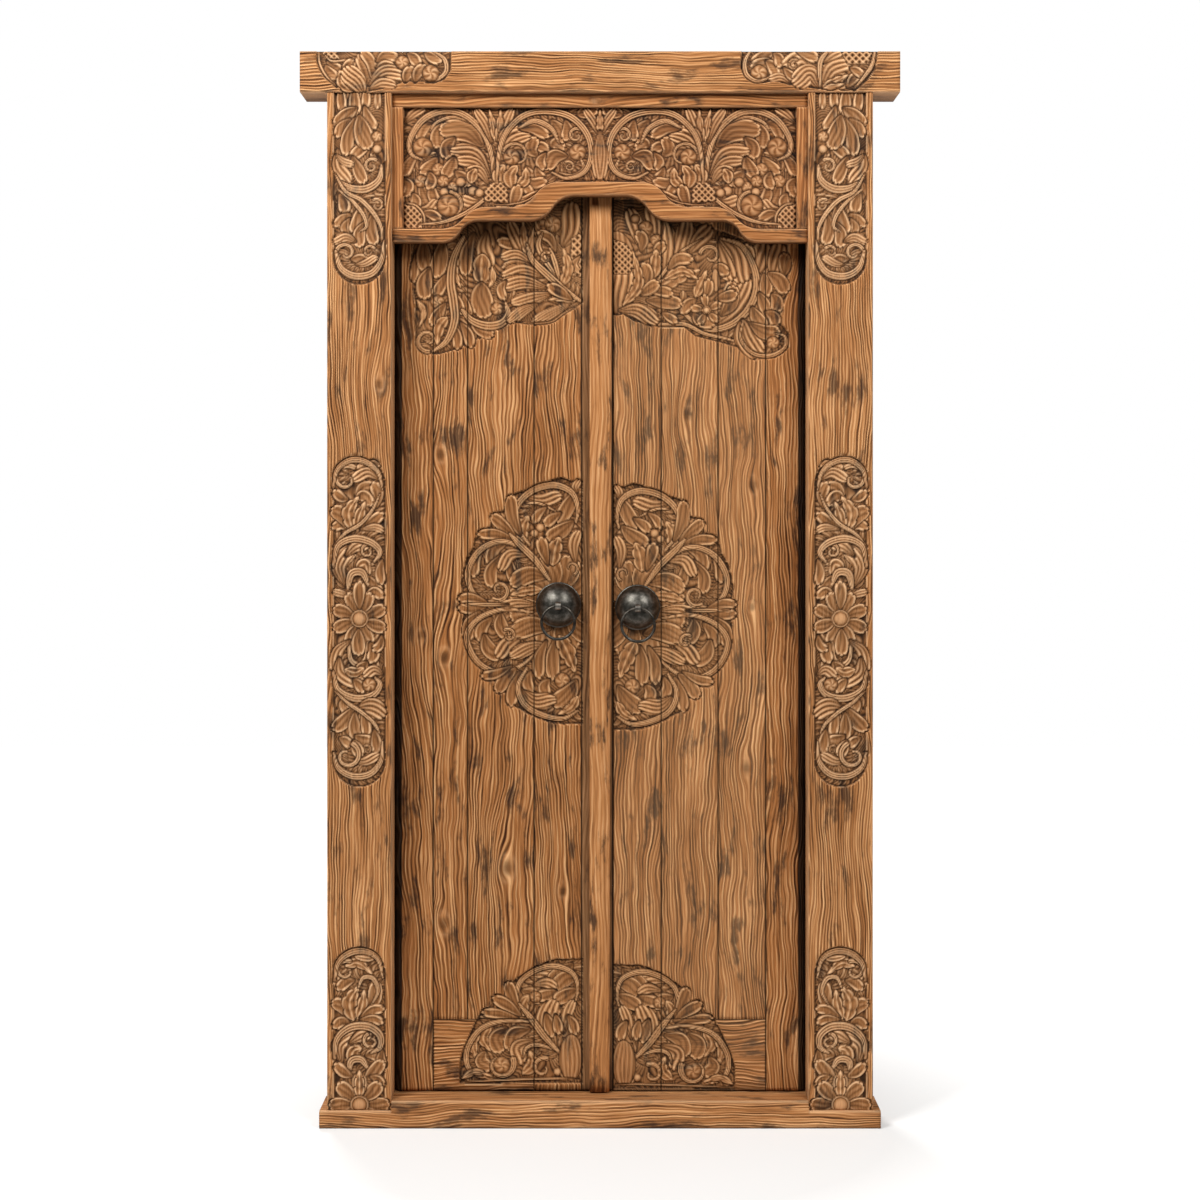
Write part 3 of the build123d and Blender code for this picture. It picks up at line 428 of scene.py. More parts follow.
medallion_shapes = [
    ("frond3", 30, (-150, 1288), (-118, 1284), (-84, 1292)),
    ("stem2", 9, (-156, 1276), (-126, 1276), (-88, 1258)),
    ("petal", 34, (-56, 1296), (-66, 1270), (-84, 1240)),
    ("petal", 20, (-112, 1268), (-128, 1254), (-136, 1238)),
    ("petal", 24, (-82, 1256), (-100, 1244), (-112, 1232)), ("bead", 9, (-124, 1226)),
    ("bead", 8, (-136, 1214)), ("petal", 34, (-58, 1238), (-78, 1220), (-106, 1206)),
    ("leaf", 30, (-162, 1190), (-162, 1226), (-148, 1250)),
    ("leaf", 34, (-98, 1150), (-94, 1180), (-84, 1206)),
    ("petal", 26, (-108, 1150), (-118, 1180), (-122, 1202)),
    ("frond3", 26, (-50, 1152), (-56, 1188), (-44, 1216)), ("curl2", 8, (-60, 1142), 15, -60, 260),
    ("frond3", 18, (-46, 1300), (-52, 1310), (-44, 1322)),
    ("stem3", 20, (-146, 1190), (-176, 1232), (-170, 1274), (-138, 1304), (-94, 1314), (-58, 1298),
        (-46, 1264), (-50, 1236)),
    ("petal", 30, (-166, 1212), (-182, 1248), (-184, 1290)),
    ("petal", 28, (-178, 1210), (-200, 1228), (-222, 1250)),
    ("petal", 24, (-180, 1202), (-216, 1212), (-252, 1212)),
    ("petal", 28, (-196, 1192), (-220, 1180), (-228, 1150)),
    ("petal", 26, (-244, 1186), (-260, 1158), (-262, 1126)),
    ("petal", 30, (-206, 1168), (-226, 1136), (-226, 1106)),
    ("petal", 26, (-186, 1160), (-184, 1134), (-172, 1110)),
    ("frond3", 28, (-150, 1170), (-186, 1168), (-206, 1140)),
    ("petal", 40, (-112, 1124), (-146, 1128), (-180, 1112)),
    ("leaf", 24, (-120, 1098), (-156, 1094), (-186, 1086)), ("curl2", 12, (-210, 1096), 22, -120, 330),
    ("stem3", 18, (-146, 1166), (-180, 1192), (-216, 1196), (-252, 1176), (-274, 1136), (-268, 1098),
        (-244, 1076), (-212, 1072)),
    ("stem3", 20, (-104, 1116), (-134, 1158), (-168, 1192), (-188, 1214)),
    ("petal", 22, (-236, 1072), (-266, 1080), (-292, 1078)),
    ("petal", 22, (-236, 1062), (-266, 1056), (-292, 1060)),
    ("frond3", 24, (-134, 1066), (-170, 1068), (-206, 1064)),
    ("stem2", 12, (-190, 1066), (-236, 1066), (-280, 1068)),
    ("petal", 30, (-250, 1050), (-270, 1026), (-274, 996)),
    ("petal", 32, (-206, 1046), (-206, 1024), (-196, 1002)),
    ("petal", 26, (-226, 1038), (-244, 1018), (-250, 994)),
    ("petal", 34, (-240, 1002), (-232, 976), (-212, 958)),
    ("frond3", 34, (-164, 1000), (-190, 984), (-210, 962)),
    ("petal", 44, (-106, 1018), (-140, 1022), (-178, 1010)),
    ("frond4", 30, (-112, 984), (-146, 976), (-184, 960)), ("curl2", 9, (-190, 1002), 14, 120, -340),
    ("stem3", 18, (-140, 1050), (-200, 1056), (-250, 1038), (-276, 1004), (-266, 964), (-240, 936),
        (-202, 926), (-160, 942), (-116, 984)),
    ("petal", 30, (-176, 932), (-196, 912), (-212, 888)),
    ("petal", 26, (-166, 926), (-180, 890), (-184, 858)),
    ("petal", 22, (-184, 938), (-216, 922), (-244, 918)),
    ("petal", 26, (-112, 990), (-126, 955), (-126, 914)), ("petal", 32, (-94, 990), (-98, 955), (-98, 914)),
    ("leaf", 36, (-84, 1000), (-66, 966), (-52, 926)), ("petal", 24, (-144, 926), (-150, 904), (-142, 884)),
    ("bead", 16, (-78, 908)), ("petal", 26, (-106, 910), (-116, 896), (-112, 880)),
    ("petal", 40, (-50, 906), (-66, 880), (-92, 862)), ("frond4", 34, (-160, 886), (-134, 866), (-96, 868)),
    ("leaf", 22, (-46, 876), (-60, 852), (-88, 838)),
    ("stem3", 18, (-152, 934), (-170, 896), (-156, 858), (-118, 836), (-76, 830), (-46, 846)),
]
corner_outline = [
    (-28, 336), (-64, 330), (-90, 331), (-112, 325), (-130, 315), (-150, 303), (-172, 292), (-187, 277),
    (-195, 255), (-212, 253), (-220, 247), (-235, 229), (-248, 218), (-258, 200), (-272, 170), (-282, 148),
    (-290, 120), (-290, 72), (-28, 72),
]
corner_shapes = [
    ("frond3", 30, (-152, 296), (-124, 304), (-100, 296)),
    ("petal", 38, (-60, 318), (-80, 300), (-100, 284)), ("petal", 36, (-48, 292), (-70, 290), (-92, 274)),
    ("petal", 30, (-160, 264), (-142, 258), (-126, 246)),
    ("frond3", 24, (-138, 276), (-112, 282), (-94, 272)),
    ("petal", 26, (-92, 264), (-108, 256), (-132, 252)), ("petal", 32, (-50, 266), (-68, 256), (-90, 246)),
    ("bead", 12, (-134, 252)), ("leaf", 26, (-158, 214), (-160, 236), (-148, 256)),
    ("frond4", 44, (-92, 146), (-112, 196), (-96, 238)), ("frond3", 24, (-76, 176), (-70, 212), (-56, 242)),
    ("petal", 26, (-112, 216), (-106, 196), (-100, 172)), ("petal", 22, (-92, 214), (-88, 196), (-86, 178)),
    ("petal", 24, (-66, 212), (-56, 196), (-52, 176)),
    ("stem3", 17, (-148, 208), (-172, 244), (-166, 282), (-136, 306), (-96, 316), (-58, 302), (-46, 272),
        (-50, 244)),
    ("petal", 28, (-168, 220), (-182, 250), (-190, 280)),
    ("petal", 26, (-166, 214), (-192, 234), (-220, 250)),
    ("petal", 22, (-170, 206), (-208, 216), (-244, 220)),
    ("leaf", 24, (-226, 196), (-242, 166), (-226, 138)),
    ("leaf", 22, (-250, 186), (-264, 154), (-254, 118)),
    ("petal", 36, (-196, 186), (-214, 166), (-210, 142)),
    ("petal", 34, (-148, 184), (-178, 174), (-188, 146)),
    ("petal", 30, (-240, 136), (-246, 118), (-230, 104)),
    ("frond3", 34, (-140, 162), (-170, 146), (-166, 118)), ("curl3", 16, (-206, 112), 28, 20, -330),
    ("bead", 17, (-204, 110)),
    ("stem3", 17, (-144, 200), (-200, 202), (-246, 186), (-274, 148), (-276, 112), (-256, 90), (-214, 80)),
    ("stem2", 12, (-88, 140), (-128, 152), (-152, 146), (-160, 124)),
    ("stem3", 20, (-84, 136), (-114, 168), (-142, 206), (-168, 238)),
    ("leaf", 26, (-160, 92), (-140, 112), (-146, 140)), ("curl3", 12, (-118, 104), 21, 70, 300),
    ("bead", 8, (-88, 96)), ("bead", 6, (-76, 90)), ("leaf", 16, (-288, 82), (-258, 96), (-222, 86)),
    ("bud5", 48, (-60, 84), (-61, 124), (-59, 168)),
    ("stem1", 7, (-289, 75), (-200, 79), (-100, 82), (-42, 82)),
]
post_top_shapes = [
    ("petal", 22, (-531, 2132), (-529, 2105), (-527, 2080)),
    ("petal", 26, (-503, 2132), (-502, 2100), (-500, 2074)),
    ("petal", 20, (-478, 2132), (-478, 2108), (-479, 2086)),
    ("petal", 16, (-456, 2132), (-455, 2108), (-455, 2084)),
    ("petal", 22, (-482, 2088), (-474, 2066), (-460, 2044)),
    ("petal", 32, (-500, 2084), (-518, 2070), (-538, 2052)),
    ("petal", 24, (-512, 2062), (-528, 2046), (-536, 2028)),
    ("petal", 30, (-502, 2062), (-515, 2026), (-519, 1991)),
    ("petal", 26, (-470, 2008), (-488, 2000), (-506, 1984)),
    ("petal", 40, (-492, 2066), (-486, 2038), (-476, 2008)), ("bead", 11, (-456, 2026)),
    ("bead", 9, (-456, 2001)), ("frond3", 30, (-536, 2000), (-534, 1966), (-514, 1934)),
    ("petal", 28, (-506, 1984), (-494, 1958), (-484, 1934)),
    ("frond3", 18, (-540, 1990), (-524, 1976), (-506, 1968)), ("curl2", 9, (-467, 1966), 15, 60, 340),
    ("stem3", 24, (-534, 1934), (-506, 1920), (-476, 1920), (-452, 1938), (-446, 1968)),
    ("curl2", 8, (-456, 1886), 13, 120, -340), ("petal", 26, (-532, 1908), (-524, 1892), (-522, 1872)),
    ("petal", 22, (-512, 1868), (-526, 1858), (-540, 1844)),
    ("petal", 20, (-514, 1858), (-522, 1840), (-512, 1820)),
    ("petal", 36, (-486, 1886), (-490, 1858), (-500, 1832)),
    ("petal", 28, (-466, 1866), (-468, 1836), (-462, 1808)),
    ("petal", 28, (-482, 1850), (-492, 1828), (-492, 1804)),
    ("frond4", 26, (-500, 1812), (-520, 1818), (-540, 1812)),
    ("stem2", 12, (-536, 1918), (-508, 1896), (-484, 1866), (-478, 1842), (-492, 1832)),
    ("stem2", 14, (-542, 1950), (-520, 1914), (-488, 1896), (-462, 1868), (-447, 1838), (-446, 1806)),
    ("petal", 24, (-508, 1776), (-490, 1776), (-470, 1768)),
    ("frond3", 18, (-500, 1764), (-480, 1768), (-456, 1780)), ("curl2", 8, (-472, 1790), 13, 40, 290),
    ("curl2", 11, (-520, 1788), 20, 180, -320),
    ("stem3", 22, (-541, 1792), (-530, 1758), (-502, 1741), (-466, 1747), (-446, 1776), (-442, 1814)),
]
post_middle_upper_shapes = [
    ("leaf", 22, (-450, 1352), (-474, 1356), (-502, 1348)),
    ("frond3", 26, (-452, 1326), (-476, 1338), (-504, 1326)),
    ("petal", 30, (-498, 1290), (-484, 1306), (-464, 1308)),
    ("petal", 26, (-458, 1268), (-454, 1294), (-462, 1316)),
    ("petal", 26, (-500, 1282), (-484, 1292), (-468, 1274)),
    ("petal", 22, (-516, 1284), (-530, 1288), (-542, 1300)),
    ("petal", 22, (-510, 1222), (-530, 1232), (-544, 1226)),
    ("petal", 34, (-506, 1218), (-524, 1248), (-542, 1262)),
    ("leaf", 30, (-506, 1222), (-514, 1258), (-494, 1290)),
    ("leaf", 24, (-498, 1222), (-492, 1250), (-480, 1280)),
    ("petal", 24, (-486, 1228), (-464, 1240), (-446, 1254)),
    ("frond3", 18, (-490, 1222), (-462, 1228), (-444, 1220)), ("curl2", 13, (-518, 1326), 28, 60, 320),
    ("stem2", 12, (-545, 1188), (-522, 1214), (-490, 1234), (-466, 1262), (-450, 1296)),
    ("stem3", 18, (-546, 1308), (-538, 1344), (-512, 1364), (-482, 1362), (-454, 1340), (-445, 1304)),
    ("frond4", 34, (-520, 1108), (-534, 1148), (-504, 1186)),
    ("frond3", 26, (-520, 1168), (-500, 1188), (-478, 1190)),
    ("leaf", 26, (-498, 1142), (-480, 1150), (-474, 1120)),
    ("petal", 24, (-476, 1128), (-464, 1110), (-450, 1094)),
    ("petal", 22, (-446, 1160), (-450, 1136), (-446, 1112)),
    ("petal", 22, (-478, 1086), (-462, 1096), (-446, 1084)),
    ("frond3", 18, (-510, 1084), (-528, 1090), (-544, 1096)), ("curl2", 9, (-475, 1178), 15, 60, 340),
    ("stem3", 22, (-546, 1146), (-536, 1188), (-504, 1204), (-468, 1196), (-450, 1176), (-462, 1156)),
    ("stem3", 24, (-516, 1102), (-508, 1132), (-486, 1134), (-474, 1108)),
]
post_middle_lower_shapes = [
    ("petal", 26, (-492, 1062), (-493, 1086), (-491, 1114)),
    ("stem2", 16, (-514, 992), (-510, 958), (-495, 946), (-480, 958), (-476, 992)),
    ("petal", 30, (-494, 1016), (-494, 994), (-494, 970)),
    ("frond3", 26, (-512, 996), (-536, 972), (-546, 936)),
    ("petal", 26, (-470, 990), (-462, 972), (-468, 954)),
    ("petal", 20, (-446, 1006), (-450, 986), (-462, 976)),
    ("petal", 30, (-478, 950), (-488, 936), (-482, 922)),
    ("frond3", 30, (-534, 960), (-530, 930), (-504, 906)),
    ("leaf", 24, (-520, 936), (-500, 930), (-482, 940)),
    ("petal", 22, (-504, 916), (-494, 906), (-486, 892)),
    ("frond3", 24, (-446, 926), (-462, 934), (-480, 924)),
    ("stem3", 22, (-546, 932), (-536, 896), (-504, 878), (-468, 882), (-450, 904), (-460, 920)),
    ("bead", 14, (-472, 905)), ("petal", 22, (-530, 872), (-524, 862), (-516, 848)),
    ("frond4", 40, (-492, 858), (-468, 860), (-448, 846)),
    ("petal", 32, (-506, 856), (-520, 834), (-542, 816)),
    ("petal", 28, (-502, 846), (-502, 820), (-498, 792)),
    ("petal", 22, (-486, 852), (-480, 828), (-476, 800)),
    ("stem2", 12, (-542, 892), (-516, 868), (-484, 846), (-458, 820), (-447, 782)),
    ("petal", 26, (-500, 800), (-484, 792), (-470, 790)),
    ("petal", 24, (-462, 812), (-458, 790), (-456, 768)),
    ("petal", 22, (-532, 796), (-520, 790), (-510, 780)),
    ("petal", 26, (-504, 790), (-498, 776), (-490, 762)), ("curl2", 6, (-476, 772), 9, 120, -340),
    ("frond3", 22, (-500, 748), (-478, 750), (-452, 762)), ("curl2", 13, (-518, 760), 27, 60, -330),
    ("stem3", 20, (-545, 766), (-536, 736), (-506, 718), (-470, 723), (-448, 750), (-445, 788)),
]
post_foot_shapes = [
    ("leaf", 22, (-520, 330), (-494, 336), (-464, 312)),
    ("frond3", 20, (-456, 350), (-474, 346), (-500, 354)),
    ("frond3", 22, (-540, 262), (-534, 284), (-540, 304)),
    ("petal", 24, (-504, 300), (-520, 296), (-534, 284)), ("curl2", 11, (-519, 320), 21, 70, 320),
    ("petal", 30, (-508, 222), (-524, 244), (-542, 256)),
    ("petal", 32, (-478, 242), (-462, 262), (-458, 292)),
    ("leaf", 34, (-505, 220), (-512, 256), (-494, 288)),
    ("leaf", 24, (-496, 222), (-486, 250), (-482, 282)),
    ("petal", 22, (-490, 224), (-466, 240), (-444, 242)),
    ("petal", 20, (-490, 220), (-464, 222), (-446, 214)),
    ("stem2", 14, (-494, 286), (-484, 306), (-464, 304), (-454, 278), (-466, 252)),
    ("petal", 24, (-512, 210), (-528, 216), (-542, 206)),
    ("stem3", 20, (-543, 300), (-536, 336), (-511, 357), (-480, 360), (-454, 344), (-444, 306)),
    ("frond4", 34, (-528, 132), (-534, 168), (-500, 190)),
    ("frond3", 26, (-512, 172), (-492, 186), (-474, 190)),
    ("leaf", 26, (-512, 132), (-504, 156), (-488, 162)),
    ("petal", 26, (-478, 146), (-464, 150), (-448, 142)),
    ("petal", 22, (-446, 158), (-448, 140), (-444, 122)), ("curl2", 10, (-468, 176), 16, 120, 320),
    ("stem3", 24, (-543, 142), (-538, 180), (-511, 204), (-474, 206), (-450, 188), (-450, 164), (-468, 152)),
    ("stem3", 22, (-514, 112), (-508, 136), (-488, 138), (-474, 118)),
    ("petal", 30, (-478, 100), (-464, 112), (-446, 132)),
    ("petal", 24, (-508, 104), (-524, 112), (-540, 128)),
    ("petal", 20, (-470, 104), (-454, 98), (-444, 86)),
]
post_foot_leaf = [
    ("leaf", 24, (-492, 62), (-492, 88), (-492, 116)), ("eye", 19, (-492, 46)),
]
pelmet_shapes = [
    ("frond3", 22, (-402, 2058), (-386, 2076), (-362, 2088)),
    ("petal", 24, (-376, 1994), (-392, 1974), (-402, 1950)),
    ("petal", 22, (-402, 1944), (-392, 1930), (-398, 1908)),
    ("petal", 28, (-370, 1932), (-360, 1908), (-354, 1886)),
    ("petal", 24, (-344, 1934), (-344, 1912), (-336, 1894)),
    ("petal", 24, (-384, 1912), (-378, 1898), (-380, 1884)),
    ("frond3", 24, (-372, 1880), (-352, 1882), (-336, 1896)),
    ("petal", 22, (-366, 1874), (-346, 1870), (-328, 1858)),
    ("petal", 26, (-276, 1908), (-280, 1890), (-290, 1870)),
    ("frond3", 26, (-246, 1896), (-262, 1892), (-282, 1902)),
    ("stem1", 6, (-362, 2040), (-352, 2052), (-340, 2058)),
    ("petal", 30, (-344, 2058), (-362, 2050), (-374, 2030)),
    ("petal", 32, (-318, 2058), (-332, 2036), (-336, 2012)),
    ("petal", 46, (-244, 2014), (-276, 2040), (-322, 2044)),
    ("petal", 30, (-300, 2026), (-314, 2010), (-316, 1990)), ("bead", 20, (-364, 2008)),
    ("frond4", 36, (-228, 1954), (-258, 1992), (-302, 2000)),
    ("frond3", 26, (-228, 1946), (-256, 1974), (-292, 1982)),
    ("frond3", 24, (-230, 1934), (-248, 1958), (-270, 1960)), ("bead", 11, (-350, 1972)),
    ("petal", 26, (-336, 1986), (-348, 1970), (-366, 1956)), ("bead", 13, (-332, 1962)),
    ("petal", 30, (-300, 1986), (-306, 1968), (-318, 1952)), ("bead", 13, (-368, 1938)),
    ("petal", 24, (-350, 1956), (-346, 1940), (-352, 1926)), ("bead", 12, (-322, 1938)),
    ("petal", 26, (-296, 1958), (-282, 1946), (-270, 1932)), ("bead", 11, (-302, 1926)),
    ("bead", 10, (-286, 1936)), ("bead", 9, (-320, 1916)), ("bead", 9, (-300, 1908)),
    ("leaf", 24, (-264, 1936), (-262, 1952), (-254, 1962)), ("bead", 10, (-262, 1918)),
    ("bead", 9, (-248, 1914)), ("curl2", 9, (-312, 1886), 31, 80, -330), ("bead", 23, (-312, 1888)),
    ("net", 9, [(-403, 1842), (-366, 1842), (-366, 1868), (-380, 1886), (-403, 1890)]),
    ("stem1", 8, (-362, 1842), (-362, 1868), (-378, 1888), (-402, 1894)),
    ("stem2", 10, (-350, 2040), (-334, 2060), (-298, 2070), (-262, 2056)),
    ("stem2", 13, (-222, 1938), (-234, 1906), (-262, 1882), (-294, 1864), (-330, 1853), (-372, 1850)),
    ("stem3", 20, (-220, 1936), (-222, 1985), (-240, 2038), (-280, 2075), (-325, 2082), (-366, 2062),
        (-391, 2022), (-388, 1994), (-366, 1982)),
    ("frond3", 22, (-222, 2016), (-236, 2054), (-254, 2086)),
    ("leaf", 16, (-216, 2020), (-220, 2054), (-228, 2088)),
    ("frond3", 22, (-208, 2016), (-196, 2054), (-180, 2086)),
    ("leaf", 16, (-212, 2020), (-206, 2054), (-204, 2088)),
    ("petal", 30, (-44, 2076), (-30, 2080), (-10, 2086)),
    ("petal", 24, (-140, 2014), (-122, 2010), (-108, 2000)),
    ("petal", 28, (-130, 1990), (-142, 2004), (-134, 2024)),
    ("petal", 26, (-100, 2010), (-90, 2016), (-78, 2004)),
    ("petal", 34, (-70, 1990), (-94, 1988), (-108, 1968)),
    ("petal", 22, (-112, 1996), (-122, 1980), (-118, 1964)),
    ("petal", 20, (-152, 1968), (-146, 1956), (-136, 1946)),
    ("petal", 20, (-132, 1966), (-126, 1952), (-116, 1944)),
    ("petal", 24, (-150, 1944), (-136, 1934), (-112, 1938)),
    ("petal", 20, (-166, 1934), (-152, 1926), (-142, 1912)),
    ("frond3", 20, (-172, 1900), (-152, 1902), (-128, 1912)),
    ("frond3", 26, (-206, 1996), (-196, 2034), (-166, 2044)),
    ("frond3", 26, (-202, 1988), (-182, 2020), (-146, 2030)),
    ("petal", 26, (-164, 2046), (-134, 2046), (-108, 2030)),
    ("petal", 30, (-98, 2062), (-84, 2044), (-78, 2022)), ("bead", 17, (-46, 1998)),
    ("petal", 26, (-70, 2062), (-66, 2042), (-70, 2026)), ("curl2", 9, (-49, 2032), 15, 60, 340),
    ("curl2", 9, (-172, 1990), 30, 190, -340), ("bead", 17, (-182, 1988)),
    ("leaf", 28, (-204, 1930), (-208, 1954), (-196, 1972)),
    ("leaf", 30, (-182, 1926), (-184, 1950), (-170, 1970)),
    ("leaf", 24, (-168, 1928), (-154, 1942), (-152, 1966)),
    ("net", 9, [(-238, 1898), (-190, 1894), (-190, 1920), (-204, 1936), (-222, 1936), (-236, 1918)]),
    ("petal", 26, (-182, 1888), (-174, 1906), (-168, 1926)),
    ("stem3", 16, (-166, 2048), (-134, 2062), (-100, 2046), (-84, 2016)),
    ("curl2", 7, (-64, 1968), 11, 120, -340),
    ("stem2", 11, (-40, 1986), (-34, 1964), (-56, 1950), (-84, 1956)),
    ("stem1", 6, (-232, 1892), (-190, 1890), (-150, 1899), (-116, 1922), (-84, 1938), (-30, 1940)),
    ("stem3", 20, (-212, 1934), (-208, 1990), (-194, 2036), (-158, 2072), (-112, 2082), (-60, 2070),
        (-26, 2034), (-18, 1990), (-34, 1956), (-70, 1944), (-98, 1956)),
]
pelmet_middle_shapes = [
    ("frond3", 20, (-4, 2036), (-14, 2060), (-30, 2086)), ("frond3", 20, (4, 2036), (14, 2060), (30, 2086)),
    ("leaf", 16, (0, 2034), (0, 2060), (0, 2088)), ("frond5", 34, (0, 2040), (0, 1996), (0, 1944)),
]
pelmet_outline = [
    (-404, 1838), (-330, 1838), (-300, 1846), (-262, 1876), (-236, 1885), (-180, 1886), (-150, 1892),
    (-115, 1916), (-84, 1936), (6, 1938), (6, 2089), (-404, 2089),
]
lintel_left_outline = [
    (-577, 2202), (-575, 2172), (-560, 2146), (-540, 2126), (-500, 2112), (-470, 2116), (-440, 2122),
    (-420, 2128), (-400, 2136), (-360, 2136), (-340, 2134), (-318, 2142), (-306, 2160), (-305, 2202),
]
lintel_left_shapes = [
    ("net", 8, [(-568, 2200), (-540, 2200), (-532, 2184), (-560, 2180)]),
    ("petal", 26, (-556, 2180), (-544, 2166), (-530, 2160)),
    ("petal", 24, (-560, 2170), (-552, 2156), (-540, 2146)),
    ("stem1", 8, (-562, 2192), (-548, 2180), (-520, 2182), (-492, 2190)),
    ("leaf", 24, (-504, 2118), (-526, 2134), (-532, 2162)),
    ("petal", 24, (-522, 2156), (-516, 2168), (-504, 2178)),
    ("petal", 24, (-490, 2150), (-492, 2168), (-490, 2182)),
    ("petal", 26, (-474, 2132), (-480, 2164), (-492, 2190)),
    ("petal", 24, (-464, 2140), (-468, 2176), (-486, 2200)),
    ("frond5", 44, (-484, 2118), (-498, 2138), (-516, 2158)),
    ("petal", 24, (-456, 2180), (-438, 2192), (-414, 2186)),
    ("frond3", 20, (-458, 2166), (-440, 2174), (-422, 2166)),
    ("frond4", 34, (-470, 2132), (-440, 2156), (-404, 2148)),
    ("frond3", 24, (-470, 2122), (-448, 2136), (-420, 2130)), ("bead", 14, (-404, 2177)),
    ("petal", 24, (-392, 2196), (-380, 2186), (-372, 2172)),
    ("petal", 24, (-398, 2138), (-394, 2152), (-386, 2164)),
    ("petal", 24, (-378, 2138), (-372, 2156), (-360, 2168)),
    ("petal", 24, (-358, 2198), (-344, 2188), (-328, 2180)),
    ("stem2", 14, (-340, 2200), (-318, 2184), (-314, 2160), (-330, 2144), (-350, 2140)),
    ("bead", 17, (-346, 2155)), ("stem1", 9, (-575, 2202), (-573, 2176), (-560, 2150), (-540, 2130)),
]
lintel_right_outline = [
    (290, 2202), (288, 2165), (298, 2146), (320, 2134), (370, 2140), (400, 2130), (450, 2122), (520, 2118),
    (545, 2140), (562, 2165), (567, 2202),
]
lintel_right_shapes = [
    ("petal", 26, (352, 2198), (336, 2190), (312, 2176)),
    ("petal", 26, (348, 2182), (336, 2176), (312, 2170)), ("bead", 17, (325, 2155)),
    ("petal", 24, (340, 2180), (352, 2170), (360, 2150)),
    ("stem2", 14, (308, 2202), (296, 2178), (300, 2152), (322, 2139), (350, 2148)),
    ("frond3", 20, (390, 2134), (370, 2146), (348, 2144)),
    ("petal", 22, (356, 2196), (366, 2186), (366, 2170)),
    ("frond3", 34, (440, 2160), (412, 2186), (378, 2172)), ("curl2", 7, (396, 2172), 12, 60, 340),
    ("petal", 20, (376, 2166), (388, 2152), (400, 2146)),
    ("frond5", 46, (446, 2130), (428, 2152), (404, 2138)),
    ("petal", 26, (404, 2200), (424, 2194), (442, 2184)),
    ("frond4", 40, (454, 2128), (470, 2164), (504, 2172)),
    ("leaf", 20, (456, 2128), (482, 2138), (508, 2152)),
    ("leaf", 14, (456, 2124), (478, 2128), (500, 2134)),
    ("frond3", 26, (456, 2176), (470, 2192), (490, 2198)),
    ("net", 10, [(492, 2202), (556, 2202), (548, 2174), (506, 2174)]),
    ("petal", 22, (506, 2126), (516, 2142), (530, 2156)),
    ("petal", 20, (512, 2166), (524, 2160), (536, 2150)),
    ("stem2", 15, (466, 2202), (450, 2176), (450, 2128)),
    ("stem2", 12, (562, 2202), (556, 2172), (540, 2148), (520, 2124)),
]
right_spandrel_outline = [
    (-36, 1920), (-141, 1920), (-227, 1868), (-319, 1831), (-401, 1827), (-403, 1767), (-401, 1722),
    (-388, 1685), (-383, 1665), (-403, 1640), (-402, 1612), (-373, 1590), (-337, 1593), (-305, 1610),
    (-264, 1622), (-209, 1636), (-186, 1654), (-136, 1654), (-81, 1667), (-47, 1689), (-28, 1692),
    (-28, 1920),
]
